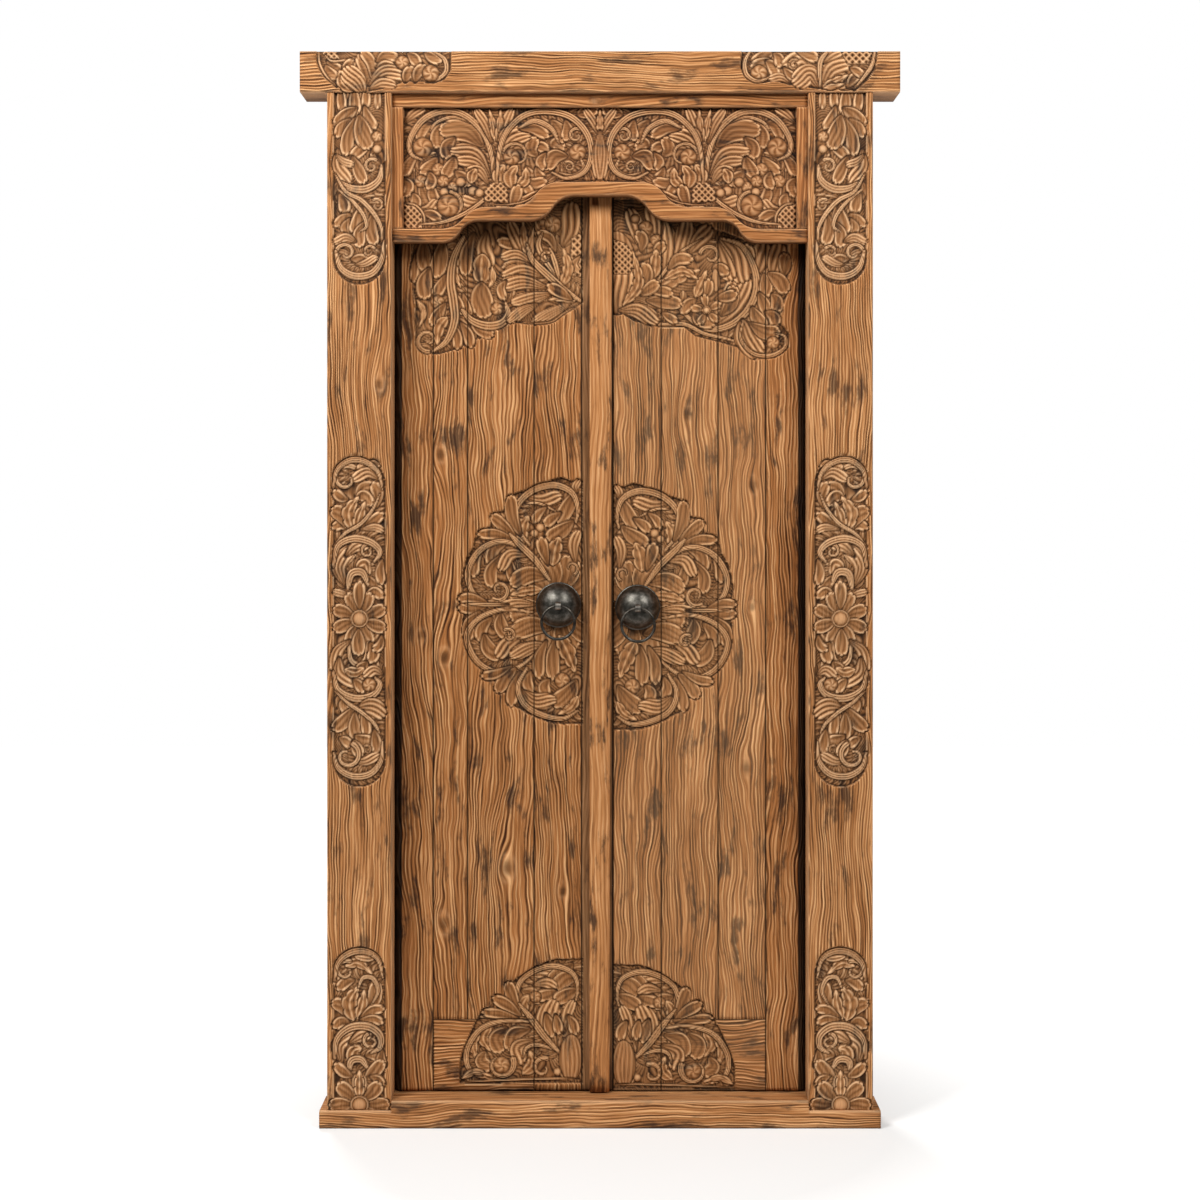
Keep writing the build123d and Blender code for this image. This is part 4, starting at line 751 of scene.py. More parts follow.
right_spandrel_shapes = [
    ("stem2", 12, (-47, 1690), (-90, 1674), (-136, 1660), (-186, 1660), (-227, 1641), (-273, 1630),
        (-309, 1619)),
    ("frond4", 46, (-141, 1763), (-150, 1808), (-141, 1868)),
    ("frond4", 44, (-166, 1781), (-186, 1822), (-191, 1868)),
    ("frond3", 36, (-104, 1808), (-90, 1854), (-72, 1895)),
    ("frond3", 34, (-127, 1822), (-127, 1863), (-113, 1904)),
    ("frond3", 36, (-195, 1808), (-218, 1836), (-236, 1859)),
    ("frond3", 42, (-337, 1767), (-344, 1795), (-348, 1822)),
    ("frond3", 40, (-369, 1763), (-377, 1790), (-382, 1820)),
    ("petal", 28, (-394, 1763), (-395, 1781), (-393, 1804)),
    ("petal", 26, (-319, 1776), (-321, 1799), (-316, 1822)),
    ("frond5", 58, (-246, 1662), (-282, 1699), (-307, 1758)),
    ("petal", 34, (-264, 1681), (-282, 1703), (-287, 1735)),
    ("frond4", 58, (-264, 1837), (-289, 1804), (-305, 1758)),
    ("frond3", 38, (-257, 1827), (-266, 1790), (-282, 1758)),
    ("stem3", 22, (-263, 1839), (-305, 1823), (-331, 1776), (-335, 1731), (-317, 1689), (-282, 1659),
        (-239, 1650), (-198, 1671), (-175, 1699)),
    ("petal", 24, (-209, 1713), (-195, 1703), (-182, 1685)),
    ("petal", 26, (-205, 1681), (-218, 1667), (-246, 1660)), ("curl2", 11, (-240, 1802), 22, 20, 300),
    ("petal", 26, (-246, 1776), (-259, 1776), (-273, 1767)),
    ("bud3", 17, (-252, 1729), (-252, 1749), (-250, 1774)),
    ("petal", 26, (-252, 1713), (-273, 1717), (-291, 1722)),
    ("leaf", 24, (-209, 1717), (-220, 1742), (-232, 1772)),
    ("petal", 22, (-227, 1713), (-236, 1731), (-236, 1751)),
    *rosette((-232, 1689), 30, 9, 10, 5, 72),
    ("stem2", 11, (-118, 1729), (-145, 1770), (-177, 1808), (-224, 1839)),
    ("petal", 26, (-154, 1776), (-173, 1795), (-200, 1795)),
    ("leaf", 32, (-122, 1729), (-168, 1755), (-218, 1773)),
    ("leaf", 24, (-145, 1754), (-182, 1770), (-214, 1754)),
    ("petal", 32, (-110, 1710), (-141, 1707), (-176, 1703)),
    ("petal", 24, (-109, 1729), (-136, 1729), (-159, 1724)), ("bead", 15, (-106, 1859)),
    ("bead", 12, (-128, 1835)), ("bead", 9, (-84, 1879)),
    ("petal", 26, (-97, 1813), (-100, 1834), (-91, 1849)),
    ("petal", 24, (-127, 1802), (-132, 1814), (-141, 1827)),
    ("leaf", 28, (-123, 1758), (-127, 1788), (-127, 1815)),
    ("petal", 26, (-110, 1740), (-110, 1763), (-102, 1783)),
    ("petal", 28, (-97, 1722), (-113, 1733), (-127, 1745)),
    ("bud5", 84, (-46, 1691), (-48, 1763), (-45, 1843)),
    ("frond5", 74, (-46, 1689), (-48, 1722), (-48, 1765)),
    ("net", 9, [(-31, 1765), (-72, 1765), (-83, 1786), (-78, 1808), (-65, 1827), (-31, 1839)]),
    ("leaf", 24, (-59, 1699), (-91, 1745), (-79, 1813)),
    ("frond4", 36, (-52, 1689), (-90, 1688), (-127, 1666)),
    ("petal", 20, (-141, 1683), (-154, 1675), (-169, 1665)),
    ("petal", 30, (-351, 1763), (-355, 1742), (-354, 1722)),
    ("petal", 34, (-363, 1765), (-382, 1751), (-395, 1731)),
    ("petal", 28, (-342, 1724), (-351, 1703), (-359, 1685)),
    ("petal", 28, (-369, 1722), (-378, 1708), (-378, 1690)),
    ("petal", 30, (-327, 1694), (-336, 1674), (-351, 1658)),
    ("petal", 26, (-355, 1685), (-371, 1676), (-376, 1660)),
    ("frond5", 50, (-307, 1667), (-312, 1633), (-339, 1601)),
    ("petal", 34, (-325, 1660), (-351, 1644), (-378, 1644)),
    ("stem2", 13, (-308, 1667), (-303, 1630), (-328, 1600), (-365, 1595), (-394, 1611), (-395, 1634),
        (-374, 1642)),
    ("bead", 13, (-370, 1622)),
]


# Carved fields

medallion_rows = rosette(boss_seat, 84, 44, 15, 12, 30)[:-1] + medallion_shapes + [("seat", 36, boss_seat)]
leaf_fields = [
    carved_field((-400, 1560, -34, 1922), spandrel_outline, spandrel_shapes),
    carved_field((-310, 790, -34, 1340), medallion_outline, medallion_rows),
    carved_field((-310, 50, -34, 350), corner_outline, corner_shapes),
]
right_spandrel = carved_field((-412, 1560, -34, 1922), right_spandrel_outline, right_spandrel_shapes)
right_leaf_fields = [right_spandrel, *leaf_fields[1:]]
post_middle_flower = rosette((post_middle, 1040), 50, 18, 22.5, 8, 45)
post_middle_shapes = post_middle_upper_shapes + post_middle_flower + post_middle_lower_shapes
post_foot_flower = rosette((post_middle, 46), 54, 19, 0, 5, 45)
post_bottom_shapes = post_foot_shapes + post_foot_flower + post_foot_leaf
post_fields = [
    carved_field((post_out, foot, post_in, head), slot_outline(*slot), shapes)
    for foot, head, slot, shapes in (
        (1715, post_head, (1724, 2130, True, False), post_top_shapes),
        (690, 1380, (697, 1369, True, True), post_middle_shapes),
        (30, 380, (20, 368, False, True), post_bottom_shapes),
    )
]
post_carved = [(30, 372), (692, 1374), (1720, post_head)]
pelmet_fields = [carved_field((-412, 1828, 6, 2100), pelmet_outline, pelmet_shapes + pelmet_middle_shapes)]
lintel_carved = [(-580, -290), (280, 575)]
lintel_drawn = [(lintel_left_outline, lintel_left_shapes), (lintel_right_outline, lintel_right_shapes)]
lintel_fields = [
    carved_field((left, 2108, right, 2203), *drawn)
    for (left, right), drawn in zip(lintel_carved, lintel_drawn)
]


# Timbers

def spread(low, high, step):
    """Even places from low to high, no further apart than the step."""
    return np.linspace(low, high, max(2, int(np.ceil((high - low) / step)) + 1))


def graded(low, high, fine_spans, close_step, wide_step):
    """Places from low to high, close together inside the fine spans and wide apart elsewhere."""
    stops = sorted({low, high, *(min(max(v, low), high) for span in fine_spans for v in span)})
    parts = []
    for a, b in zip(stops, stops[1:]):
        close = any(span[0] <= (a + b) / 2 <= span[1] for span in fine_spans)
        parts.append(spread(a, b, close_step if close else wide_step)[:-1])
    return np.concatenate([*parts, [high]])


def edged(places, arris):
    """The places with a few more at both ends, where the arris is rounded."""
    steps = arris * np.array([0.12, 0.4, 1.0])
    return np.unique(np.concatenate([places, places[0] + steps, places[-1] - steps]))


def eased(places, arris):
    """How far a rounded arris falls back from the face: a quarter circle at each end of the places."""
    d = np.clip(arris - np.minimum(places - places[0], places[-1] - places), 0, arris)
    return arris - np.sqrt(arris * arris - d * d)


def doubled(z, edge):
    """The rows with two at an edge behind, where the outline steps, and none close beside them."""
    z = z[np.abs(z - edge) > 1]
    return np.insert(z, np.searchsorted(z, edge), [edge, edge])


def parted(z):
    """The rows with doubled ones drawn 0.4 apart either way, for a front that doesn't step."""
    twice = np.flatnonzero(np.diff(z) == 0)
    z = z.copy()
    z[twice] -= 0.4
    z[twice + 1] += 0.4
    return z


def grain_places(points, upright, seed, knots, slant):
    """Where each point lies in the log: across the grain, with slow waves that fan out, and along it.

    Round a knot the place across is drawn towards the knot's middle, so that the rings part round it; further
    out the rings bow to one side. The seed sets timbers far apart, so that no two show the same grain."""
    x, y, z = points[..., 0], points[..., 1], points[..., 2]
    across_log, along_log = (x + y, z) if upright else (z + y, x)
    u = across_log + slant * along_log + 7 * np.sin(along_log / 190 + across_log / 70 + seed)
    u = u + 3 * np.sin(along_log / 61 + across_log / 45 + 2.3 * seed)
    for xk, zk, reach in knots:
        dx, dz = x - xk, z - zk
        a, b = (dx / 2.4, dz / 5.5) if upright else (dx / 5.5, dz / 2.4)
        off = a * a + b * b
        near = np.exp(-off / reach**2)
        u = u - 0.88 * (dx if upright else dz) * near + 1.6 * reach * np.exp(-off / (2.2 * reach) ** 2)
    return np.stack([u + 937 * seed, along_log], -1) * mm


def timber(node_name, body, finish, front, tail, upright=True, marks=0.0, seed=0.0, knots=(), slant=0.0,
           dark=0.0):
    """A closed timber made of rings: each ring is its front points and then its tail points.

    Rings follow one another along the piece, quads join neighbours, and a flat face closes each end.
    Marks are the carved, hollow and worn shares of the front points, hollow being grime and painted shade;
    dark is the tail's hollow share, painted shade where the tail turns away.
    A knot is dark in its middle, with a rubbed ring round it."""
    rings, fronts = front.shape[:2]
    points = np.concatenate([front, tail], 1)
    n = points.shape[1]
    r, c = np.meshgrid(np.arange(rings - 1), np.arange(n), indexing="ij")
    quads = np.stack([r * n + c, r * n + (c + 1) % n, (r + 1) * n + (c + 1) % n, (r + 1) * n + c], -1)
    loops = np.concatenate([quads.ravel(), np.arange(n)[::-1], (rings - 1) * n + np.arange(n)])
    count = quads.shape[0] * n
    starts = np.concatenate([4 * np.arange(count), [4 * count, 4 * count + n]])
    flat = np.concatenate([(c >= fronts - 1).ravel(), [True, True]])
    mesh = bpy.data.meshes.new(node_name + "_wood")
    mesh.vertices.add(rings * n)
    mesh.vertices.foreach_set("co", (points * mm).ravel())
    mesh.loops.add(len(loops))
    mesh.loops.foreach_set("vertex_index", loops)
    mesh.polygons.add(len(starts))
    mesh.polygons.foreach_set("loop_start", starts)
    mesh.polygons.foreach_set("use_smooth", ~flat)
    grain = grain_places(points, upright, seed, knots, slant).reshape(-1, 2)
    mesh.uv_layers.new(name="grain").data.foreach_set("uv", grain[loops].ravel())
    mesh.update(calc_edges=True)
    shares = np.zeros((3, rings, n))
    shares[:, :, :fronts] = marks
    shares[1, :, fronts:] = dark
    for xk, zk, reach in knots:
        d = np.hypot(points[..., 0] - xk, (points[..., 2] - zk) * 0.7) / reach
        shares[1] = np.maximum(shares[1], 0.6 * np.exp(-d**4))
        shares[2] = np.maximum(shares[2], 0.22 * np.exp(-(((d - 1.6) / 0.35) ** 2)))
    for name, values in zip(("carved", "hollow", "worn"), shares):
        mesh.attributes.new(name, "FLOAT", "POINT").data.foreach_set("value", values.ravel())
    piece = bpy.data.objects.new(node_name + "_wood", mesh)
    bpy.context.scene.collection.objects.link(piece)
    mesh.materials.append(finish[0])
    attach(piece, body)
    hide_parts(node_name)


def flipped(front, tail, marks):
    """The same timber on the other side of the doorway: x negated, and each ring turned about."""
    turn = np.array([-1.0, 1.0, 1.0])
    return (front * turn)[:, ::-1], (tail * turn)[:, ::-1], marks[:, :, ::-1]


def span_of(node_name):
    """A node's lowest and highest corners, in millimetres."""
    return [np.array(corner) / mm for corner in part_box(node_name)]


def place(x, y, z):
    """Points from coordinates of matching shapes."""
    return np.stack(np.broadcast_arrays(x, y, z), -1).astype(float)


def section(rings, points):
    """The same outline points repeated for every ring."""
    return np.broadcast_to(np.asarray(points, float), (rings, len(points), 2))


# Finishes

def linear(code):
    """A linear colour from an sRGB hex value."""
    c = np.array([int(code[i:i + 2], 16) for i in (1, 3, 5)]) / 255
    c = np.where(c <= 0.04045, c / 12.92, ((c + 0.055) / 1.055) ** 2.4)
    return (*c.tolist(), 1.0)


def node(tree, kind, inputs, out=0, stops=(), **settings):
    """Adds a node with its settings, colour stops and links, and gives one of its outputs."""
    made = tree.nodes.new("ShaderNode" + kind)
    for name, value in settings.items():
        setattr(made, name, value)
    for n, (at, code) in enumerate(stops):
        stop = made.color_ramp.elements[n] if n < 2 else made.color_ramp.elements.new(at)
        stop.position, stop.color = at, linear(code)
    for name, value in inputs.items():
        if isinstance(value, bpy.types.NodeSocket):
            tree.links.new(value, made.inputs[name])
        else:
            made.inputs[name].default_value = value
    return made.outputs[out]


def teak(name, spacing, contrast, wander, stops, recess, rubbed, relief, soot):
    """Teak left to the weather: soft wood worn back between hard ridges, dull, with grime and painted shade
    in the hollows.

    Spacing is from ridge to ridge, wander how far the ridges stray and relief how deep they stand, in
    millimetres; contrast is how far they show in the colour, soot the share of dark handling marks.
    Recess and rubbed are the colours of the hollows and the high spots."""
    # Sizes of a bend in the ridges, a fibre, a change of tone and a handling mark. Real fibres are finer than
    # this; at 2.2 mm they still show.
    bend_size, fibre_size, tone_size, mark_size = 80 * mm, 2.2 * mm, 110 * mm, 34 * mm
    material = bpy.data.materials.new(name)
    material.use_nodes = True
    tree = material.node_tree
    shader = tree.nodes["Principled BSDF"]
    grain = node(tree, "UVMap", {}, uv_map="grain")
    carved, hollow, worn = (
        node(tree, "Attribute", {}, "Fac", attribute_name=n) for n in ("carved", "hollow", "worn")
    )
    # The ridges run on for half a metre and stray from side to side.
    lazy = node(tree, "VectorMath", {0: grain, 1: (1, 0.5, 1)}, operation="MULTIPLY")
    sway = node(tree, "TexNoise", {"Vector": lazy, "Scale": 1 / bend_size, "Detail": 2.0}, "Color")
    strayed = node(tree, "VectorMath", {
        0: sway, 1: (wander * mm, 0, 0), 2: grain}, operation="MULTIPLY_ADD")
    drawn = node(tree, "VectorMath", {0: strayed, 1: (1, 0.014, 1)}, operation="MULTIPLY")
    ripple = node(tree, "TexNoise", {
        "Vector": drawn, "Scale": 1.5 / (spacing * mm), "Detail": 2.5, "Roughness": 0.6}, "Fac")
    ripple = node(tree, "MapRange", {
        "Value": ripple, "From Min": 0.30, "From Max": 0.70, "To Min": -0.40, "To Max": 0.40})
    side = node(tree, "SeparateXYZ", {0: strayed}, "X")
    turn = node(tree, "Math", {0: side, 1: 2 * np.pi / (spacing * mm)}, operation="MULTIPLY")
    wave = node(tree, "Math", {0: turn}, operation="SINE")
    ripple = node(tree, "Math", {0: wave, 1: 0.22, 2: ripple}, operation="MULTIPLY_ADD")
    # Carving was cut smooth, so the ridges are faint there.
    plain = node(tree, "MapRange", {"Value": carved, "To Min": 1.0, "To Max": 0.12})
    ridge = node(tree, "Math", {0: ripple, 1: plain}, operation="MULTIPLY")
    drawn = node(tree, "VectorMath", {0: strayed, 1: (1, 0.035, 1)}, operation="MULTIPLY")
    fibre = node(tree, "TexNoise", {"Vector": drawn, "Scale": 1 / fibre_size, "Detail": 2.0}, "Fac")
    long_tone = node(tree, "VectorMath", {0: grain, 1: (1, 0.22, 1)}, operation="MULTIPLY")
    tone = node(tree, "TexNoise", {"Vector": long_tone, "Scale": 1 / tone_size, "Detail": 3.0}, "Fac")
    shade = node(tree, "Math", {0: ridge, 1: contrast, 2: 0.0}, operation="MULTIPLY_ADD")
    shade = node(tree, "Math", {0: fibre, 1: 0.6, 2: shade}, operation="MULTIPLY_ADD")
    shade = node(tree, "Math", {0: tone, 1: 0.4, 2: shade}, operation="MULTIPLY_ADD")
    colour = node(tree, "ValToRGB", {"Fac": shade}, stops=stops)
    # Handling marks are drawn out along the grain; then come the rubbed high spots and the hollows, dark with
    # grime and painted shade. The rubbed share also holds a painted paleness over the right leaf.
    smear = node(tree, "VectorMath", {0: strayed, 1: (1, 0.28, 1)}, operation="MULTIPLY")
    smudge = node(tree, "TexNoise", {
        "Vector": smear, "Scale": 1 / mark_size, "Detail": 5.0, "Roughness": 0.62}, "Fac")
    smudge = node(tree, "MapRange", {
        "Value": smudge, "From Min": 0.53, "From Max": 0.66, "To Max": soot}, interpolation_type="SMOOTHSTEP")
    polish = node(tree, "Math", {0: worn, 1: 0.8}, operation="MULTIPLY")
    grime_and_shade = node(tree, "Math", {0: hollow, 1: 0.94}, operation="MULTIPLY")
    for share, code in ((smudge, "#2f2119"), (polish, rubbed), (grime_and_shade, recess)):
        colour = node(tree, "Mix", {0: share, 6: colour, 7: linear(code)}, 2, data_type="RGBA")
    tree.links.new(colour, shader.inputs["Base Color"])
    shader.inputs["Roughness"].default_value = 0.68
    shader.inputs["Specular IOR Level"].default_value = 0.14
    height = node(tree, "Math", {0: fibre, 1: 0.3, 2: ridge}, operation="MULTIPLY_ADD")
    bump = node(tree, "Bump", {"Height": height, "Strength": 1.0, "Distance": relief * mm})
    tree.links.new(bump, shader.inputs["Normal"])
    return material


def bronze(name, stops, rough):
    """Cast bronze gone dark with handling: a black-grey film over the metal, satin where hands polish it."""
    patch_size = 11 * mm
    material = bpy.data.materials.new(name)
    material.use_nodes = True
    tree = material.node_tree
    shader = tree.nodes["Principled BSDF"]
    where = node(tree, "TexCoord", {}, "Object")
    film = node(tree, "TexNoise", {
        "Vector": where, "Scale": 1 / patch_size, "Detail": 5.0, "Roughness": 0.6}, "Fac")
    colour = node(tree, "ValToRGB", {"Fac": film}, stops=stops)
    tree.links.new(colour, shader.inputs["Base Color"])
    shader.inputs["Metallic"].default_value = 1.0
    satin = node(tree, "MapRange", {"Value": film, "To Min": rough[0], "To Max": rough[1]})
    tree.links.new(satin, shader.inputs["Roughness"])
    return material


# A finish is a material and the name of its slot.
# The boards stood bare to the rain: deep, straying ridges, sandy on the crests; the hollows are near black
# with grime and painted shade.
leaf_teak = teak(
    "leaf_teak_weathered", spacing=6.6, contrast=0.80, wander=34.0, relief=3.2, soot=0.80,
    stops=[(0.08, "#391b08"), (0.50, "#a26838"), (0.92, "#dfa974")], recess="#120802", rubbed="#e2b281",
), "leaf_teak"
# The bar was scraped and is rubbed in passing: nearly flat, straight in the grain and warm.
bar_teak = teak(
    "bar_teak_scraped", spacing=8.0, contrast=0.42, wander=14.0, relief=0.8, soot=0.85,
    stops=[(0.12, "#663b1c"), (0.5, "#b17745"), (0.88, "#deaa78")], recess="#1c0f06", rubbed="#e6b88b",
), "leaf_teak"
# The narrow stile beside the bar holds dust: flat, dull and browner than the boards; part of that darkness
# is painted shade from the bar.
stile_teak = teak(
    "stile_teak_greyed_and_shaded", spacing=8.0, contrast=0.40, wander=10.0, relief=0.8, soot=0.7,
    stops=[(0.12, "#38220f"), (0.5, "#7a5433"), (0.88, "#a87c55")], recess="#150b04", rubbed="#c39a70",
), "leaf_teak"
# The frame is closer grained: finer ridges, and carving that is rubbed pale.
frame_teak = teak(
    "frame_teak_weathered", spacing=5.6, contrast=0.86, wander=24.0, relief=2.2, soot=0.72,
    stops=[(0.08, "#43230d"), (0.5, "#a86f3f"), (0.92, "#e2ac77")], recess="#150a04", rubbed="#f0c496",
), "frame_teak"
# The pelmet was planed and hangs under the lintel's shelter: low ridges, redder and darker.
pelmet_teak = teak(
    "pelmet_teak_planed", spacing=7.0, contrast=0.55, wander=16.0, relief=1.2, soot=0.85,
    stops=[(0.12, "#43260d"), (0.5, "#9a6134"), (0.90, "#d09761")], recess="#130803", rubbed="#e2b182",
), "pelmet_teak"
# The bosses are nearly black, with a soft highlight; the rings are a shade darker, the eyes paler, partly
# rubbed and partly painted light for the highlights they catch.
boss_bronze = bronze(
    "boss_bronze_dark", [(0.30, "#37352f"), (0.5, "#514e48"), (0.70, "#757069")], (0.32, 0.52))
ring_bronze = bronze(
    "ring_bronze_dark", [(0.30, "#2f2c28"), (0.5, "#4a4640"), (0.70, "#6c665d")], (0.34, 0.50))
eye_bronze = bronze(
    "eye_bronze_rubbed_and_lit", [(0.30, "#5f5a54"), (0.5, "#837d74"), (0.70, "#a69e94")], (0.36, 0.50))


# Frame

def post(node_name, side, seed, knots):
    """An upright with a tenon at each end and, behind, a rebate for the leaf's heel above the sill's step."""
    x = edged(spread(post_out, post_in, fine), post_arris)
    z = doubled(graded(post_foot, post_head, post_carved, fine, coarse), sill_step)
    X, Z = np.meshgrid(x, parted(z))
    tables = sampled(post_fields, X, Z)
    fall = eased(x, post_arris)
    front = place(X, post_front + fall - tables[0], Z)
    tables[3] = np.maximum(tables[3], 0.5 * fall / post_arris)
    inner, outer = (post_in, rebate_front), (post_out, post_back)
    low = [inner, (post_in, 30), (post_in, post_back), outer]
    high = [inner, (rebate_side, rebate_front), (rebate_side, post_back), outer]
    above = np.arange(len(z)) > np.searchsorted(z, sill_step)
    outline = np.where(above[:, None, None], section(1, high), section(1, low))
    tail = place(outline[..., 0], outline[..., 1], z[:, None])
    level = np.zeros((2, 1))
    peg_front = place(np.linspace(tenon_out, tenon_in, len(x)), -tenon_half, level)
    peg_tail = place([tenon_in, tenon_in, tenon_in, tenon_out], [0, 8, tenon_half, tenon_half], level)
    ends = []
    for heights in ((post_foot - tenon_length, post_foot), (post_head, post_head + tenon_length)):
        lift = np.array(heights)[:, None, None] * np.array([0, 0, 1.0])
        ends.append((peg_front + lift, peg_tail + lift))
    front = np.concatenate([ends[0][0], front, ends[1][0]])
    tail = np.concatenate([ends[0][1], tail, ends[1][1]])
    marks = np.pad(tables[1:], ((0, 0), (2, 2), (0, 0)))
    if side > 0:
        front, tail, marks = flipped(front, tail, marks)
    timber(node_name, "frame", frame_teak, front, tail, True, marks, seed, knots)


post("left_post", -1, 0.6, [(-452, 1520, 7)])
post("right_post", 1, 2.9, [])


def beam(node_name, finish, x, z_span, y_span, arris, seed, rows, fields=(), knots=(), upright=False):
    """A long timber of the frame: rings along x, each with a front from top to foot, eased at both edges.

    The spans are foot and top, front and back. Edges are rubbed, and where it stands on the floor it is
    darkened with painted shade and grime, underneath too."""
    usual_height, floor_shade_and_grime, rubbed_from, back_ease = 60.0, 0.75, 10.0, 1.0
    share = edged(np.linspace(0, 1, rows), arris / usual_height)[::-1]
    B, T = (np.broadcast_to(edge, x.shape)[:, None] for edge in z_span)
    y_front, y_back = y_span
    Z = B + (T - B) * share
    X = np.broadcast_to(x[:, None], Z.shape)
    tables = sampled(fields, X, Z)
    near = np.clip(arris - np.minimum(T - Z, Z - B), 0, arris)
    fall = arris - np.sqrt(np.clip(arris**2 - near**2, 0, None))
    tables[3] = np.maximum(tables[3], 0.55 * near / arris * (Z > rubbed_from))
    # Painted shade, with grime, where the timber meets the floor; the tail's foot is painted dark as well.
    tables[2] = np.maximum(tables[2], floor_shade_and_grime * np.exp(-((Z / 5) ** 2)))
    front = place(X, y_front + fall - tables[0], Z)
    tail = np.stack([
        place(x, y_back - back_ease, B[:, 0]), place(x, y_back, B[:, 0] + back_ease),
        place(x, y_back, T[:, 0]), place(x, y_front + 2 * arris, T[:, 0]),
    ], 1)
    dark = (floor_shade_and_grime, 0, 0, 0)
    timber(node_name, "frame", finish, front, tail, upright, tables[1:], seed, knots, dark=dark)


lintel_x = graded(-lintel_end, lintel_end, lintel_carved, fine, coarse)
lintel_depth, sill_depth = (-lintel_half, lintel_half), (-sill_half, sill_half)
beam("lintel", frame_teak, lintel_x, (post_head, lintel_top), lintel_depth, lintel_arris, 1.3, 48,
     lintel_fields)
step_slope = 0.4                        # how far the sill's step leans
step_x = np.array([post_in, post_in + step_slope])
sill_x = np.sort(np.concatenate([spread(-sill_end, sill_end, coarse), step_x, -step_x]))
sill_top = np.where(np.abs(sill_x) < -step_x.mean(), sill_step, post_foot)
beam("sill", frame_teak, sill_x, (0.0, sill_top), sill_depth, sill_arris, 4.1, 9)


# Pelmet

def arch_line(x, stops, levels):
    """The arch's height: flats joined by S-curves, each two equal arcs that meet halfway."""
    a = np.abs(x)
    z = np.full(x.shape, levels[0], float)
    for (outer, inner), (low, high) in zip(zip(stops[::2], stops[1::2]), zip(levels, levels[1:])):
        run, rise = (outer - inner) / 2, (high - low) / 2
        radius = (run**2 + rise**2) / (2 * rise)
        d = np.clip(outer - a, 0, 2 * run)
        first = radius - np.sqrt(radius**2 - np.minimum(d, run) ** 2)
        second = 2 * rise - (radius - np.sqrt(radius**2 - np.clip(2 * run - d, 0, run) ** 2))
        z = np.where(a < outer, low + np.where(d <= run, first, second), z)
    return z


def panel(node_name):
    """The carved panel between the arch and the head: rings along x, rows at even shares of the height."""
    x = spread(-rim_side - panel_lap, rim_side + panel_lap, fine)
    low, high = arch_line(x, *arch_upper)[:, None] - panel_lap, rim_head + panel_lap
    share = np.linspace(1, 0, 142)
    Z = low + (high - low) * share
    X = np.broadcast_to(x[:, None], Z.shape)
    tables = sampled(pelmet_fields, -np.abs(X), Z)
    front = place(X, panel_front - tables[0], Z)
    tail = np.stack([place(x, panel_back, low[:, 0]), place(x, panel_back, high)], 1)
    timber(node_name, "frame", pelmet_teak, front, tail, False, tables[1:], 0.4)


pelmet_depth = pelmet_front, pelmet_back
arch_x = spread(-pelmet_side, pelmet_side, 4)
arch_span = arch_line(arch_x, *arch_lower), arch_line(arch_x, *arch_upper)
beam("pelmet_arch_rail", pelmet_teak, arch_x, arch_span, pelmet_depth, pelmet_arris, 2.2, 7)
top_rail_x = spread(-pelmet_side, pelmet_side, coarse)
beam("pelmet_top_rail", pelmet_teak, top_rail_x, (rim_head, pelmet_head), pelmet_depth, pelmet_arris, 5.3, 7,
     (), [(-6, 2100, 4)])
stile_span = arch_upper[1][0], rim_head
stiles = ("left", -pelmet_side, -rim_side, 3.7), ("right", rim_side, pelmet_side, 6.1)
for stile, left, right, seed in stiles:
    stile_x = edged(spread(left, right, 6), pelmet_arris)
    beam(f"pelmet_{stile}_stile", pelmet_teak, stile_x, stile_span, pelmet_depth, pelmet_arris, seed, 40,
         upright=True)
panel("pelmet_panel")


# Leaves

joint_shade, foot_shade = 1.7, 11.0     # reach of the painted shade and grime at a joint, and of the darkening at a leaf's foot


def leaf_relief(X, Z, right):
    """The leaf carving's tables; the right leaf's is the left one's mirror image, moved, but for its head."""
    if right:
        return sampled(right_leaf_fields, -X - right_leaf_shift, Z + right_leaf_drop)
    return sampled(leaf_fields, X, Z)


def carved_spans(x0, x1, right):
    """Stretches of a leaf's height that hold carving between two places across it, and a little more."""
    z = np.arange(60.0, 2100.0, 5.0)
    X, Z = np.meshgrid(np.linspace(x0, x1, 12), z)
    busy = np.flatnonzero(leaf_relief(X, Z, right)[1].max(1) > 0.01)
    runs = np.split(busy, np.flatnonzero(np.diff(busy) > 1) + 1) if len(busy) else []
    return [(z[run[0]] - 6, z[run[-1]] + 6) for run in runs]


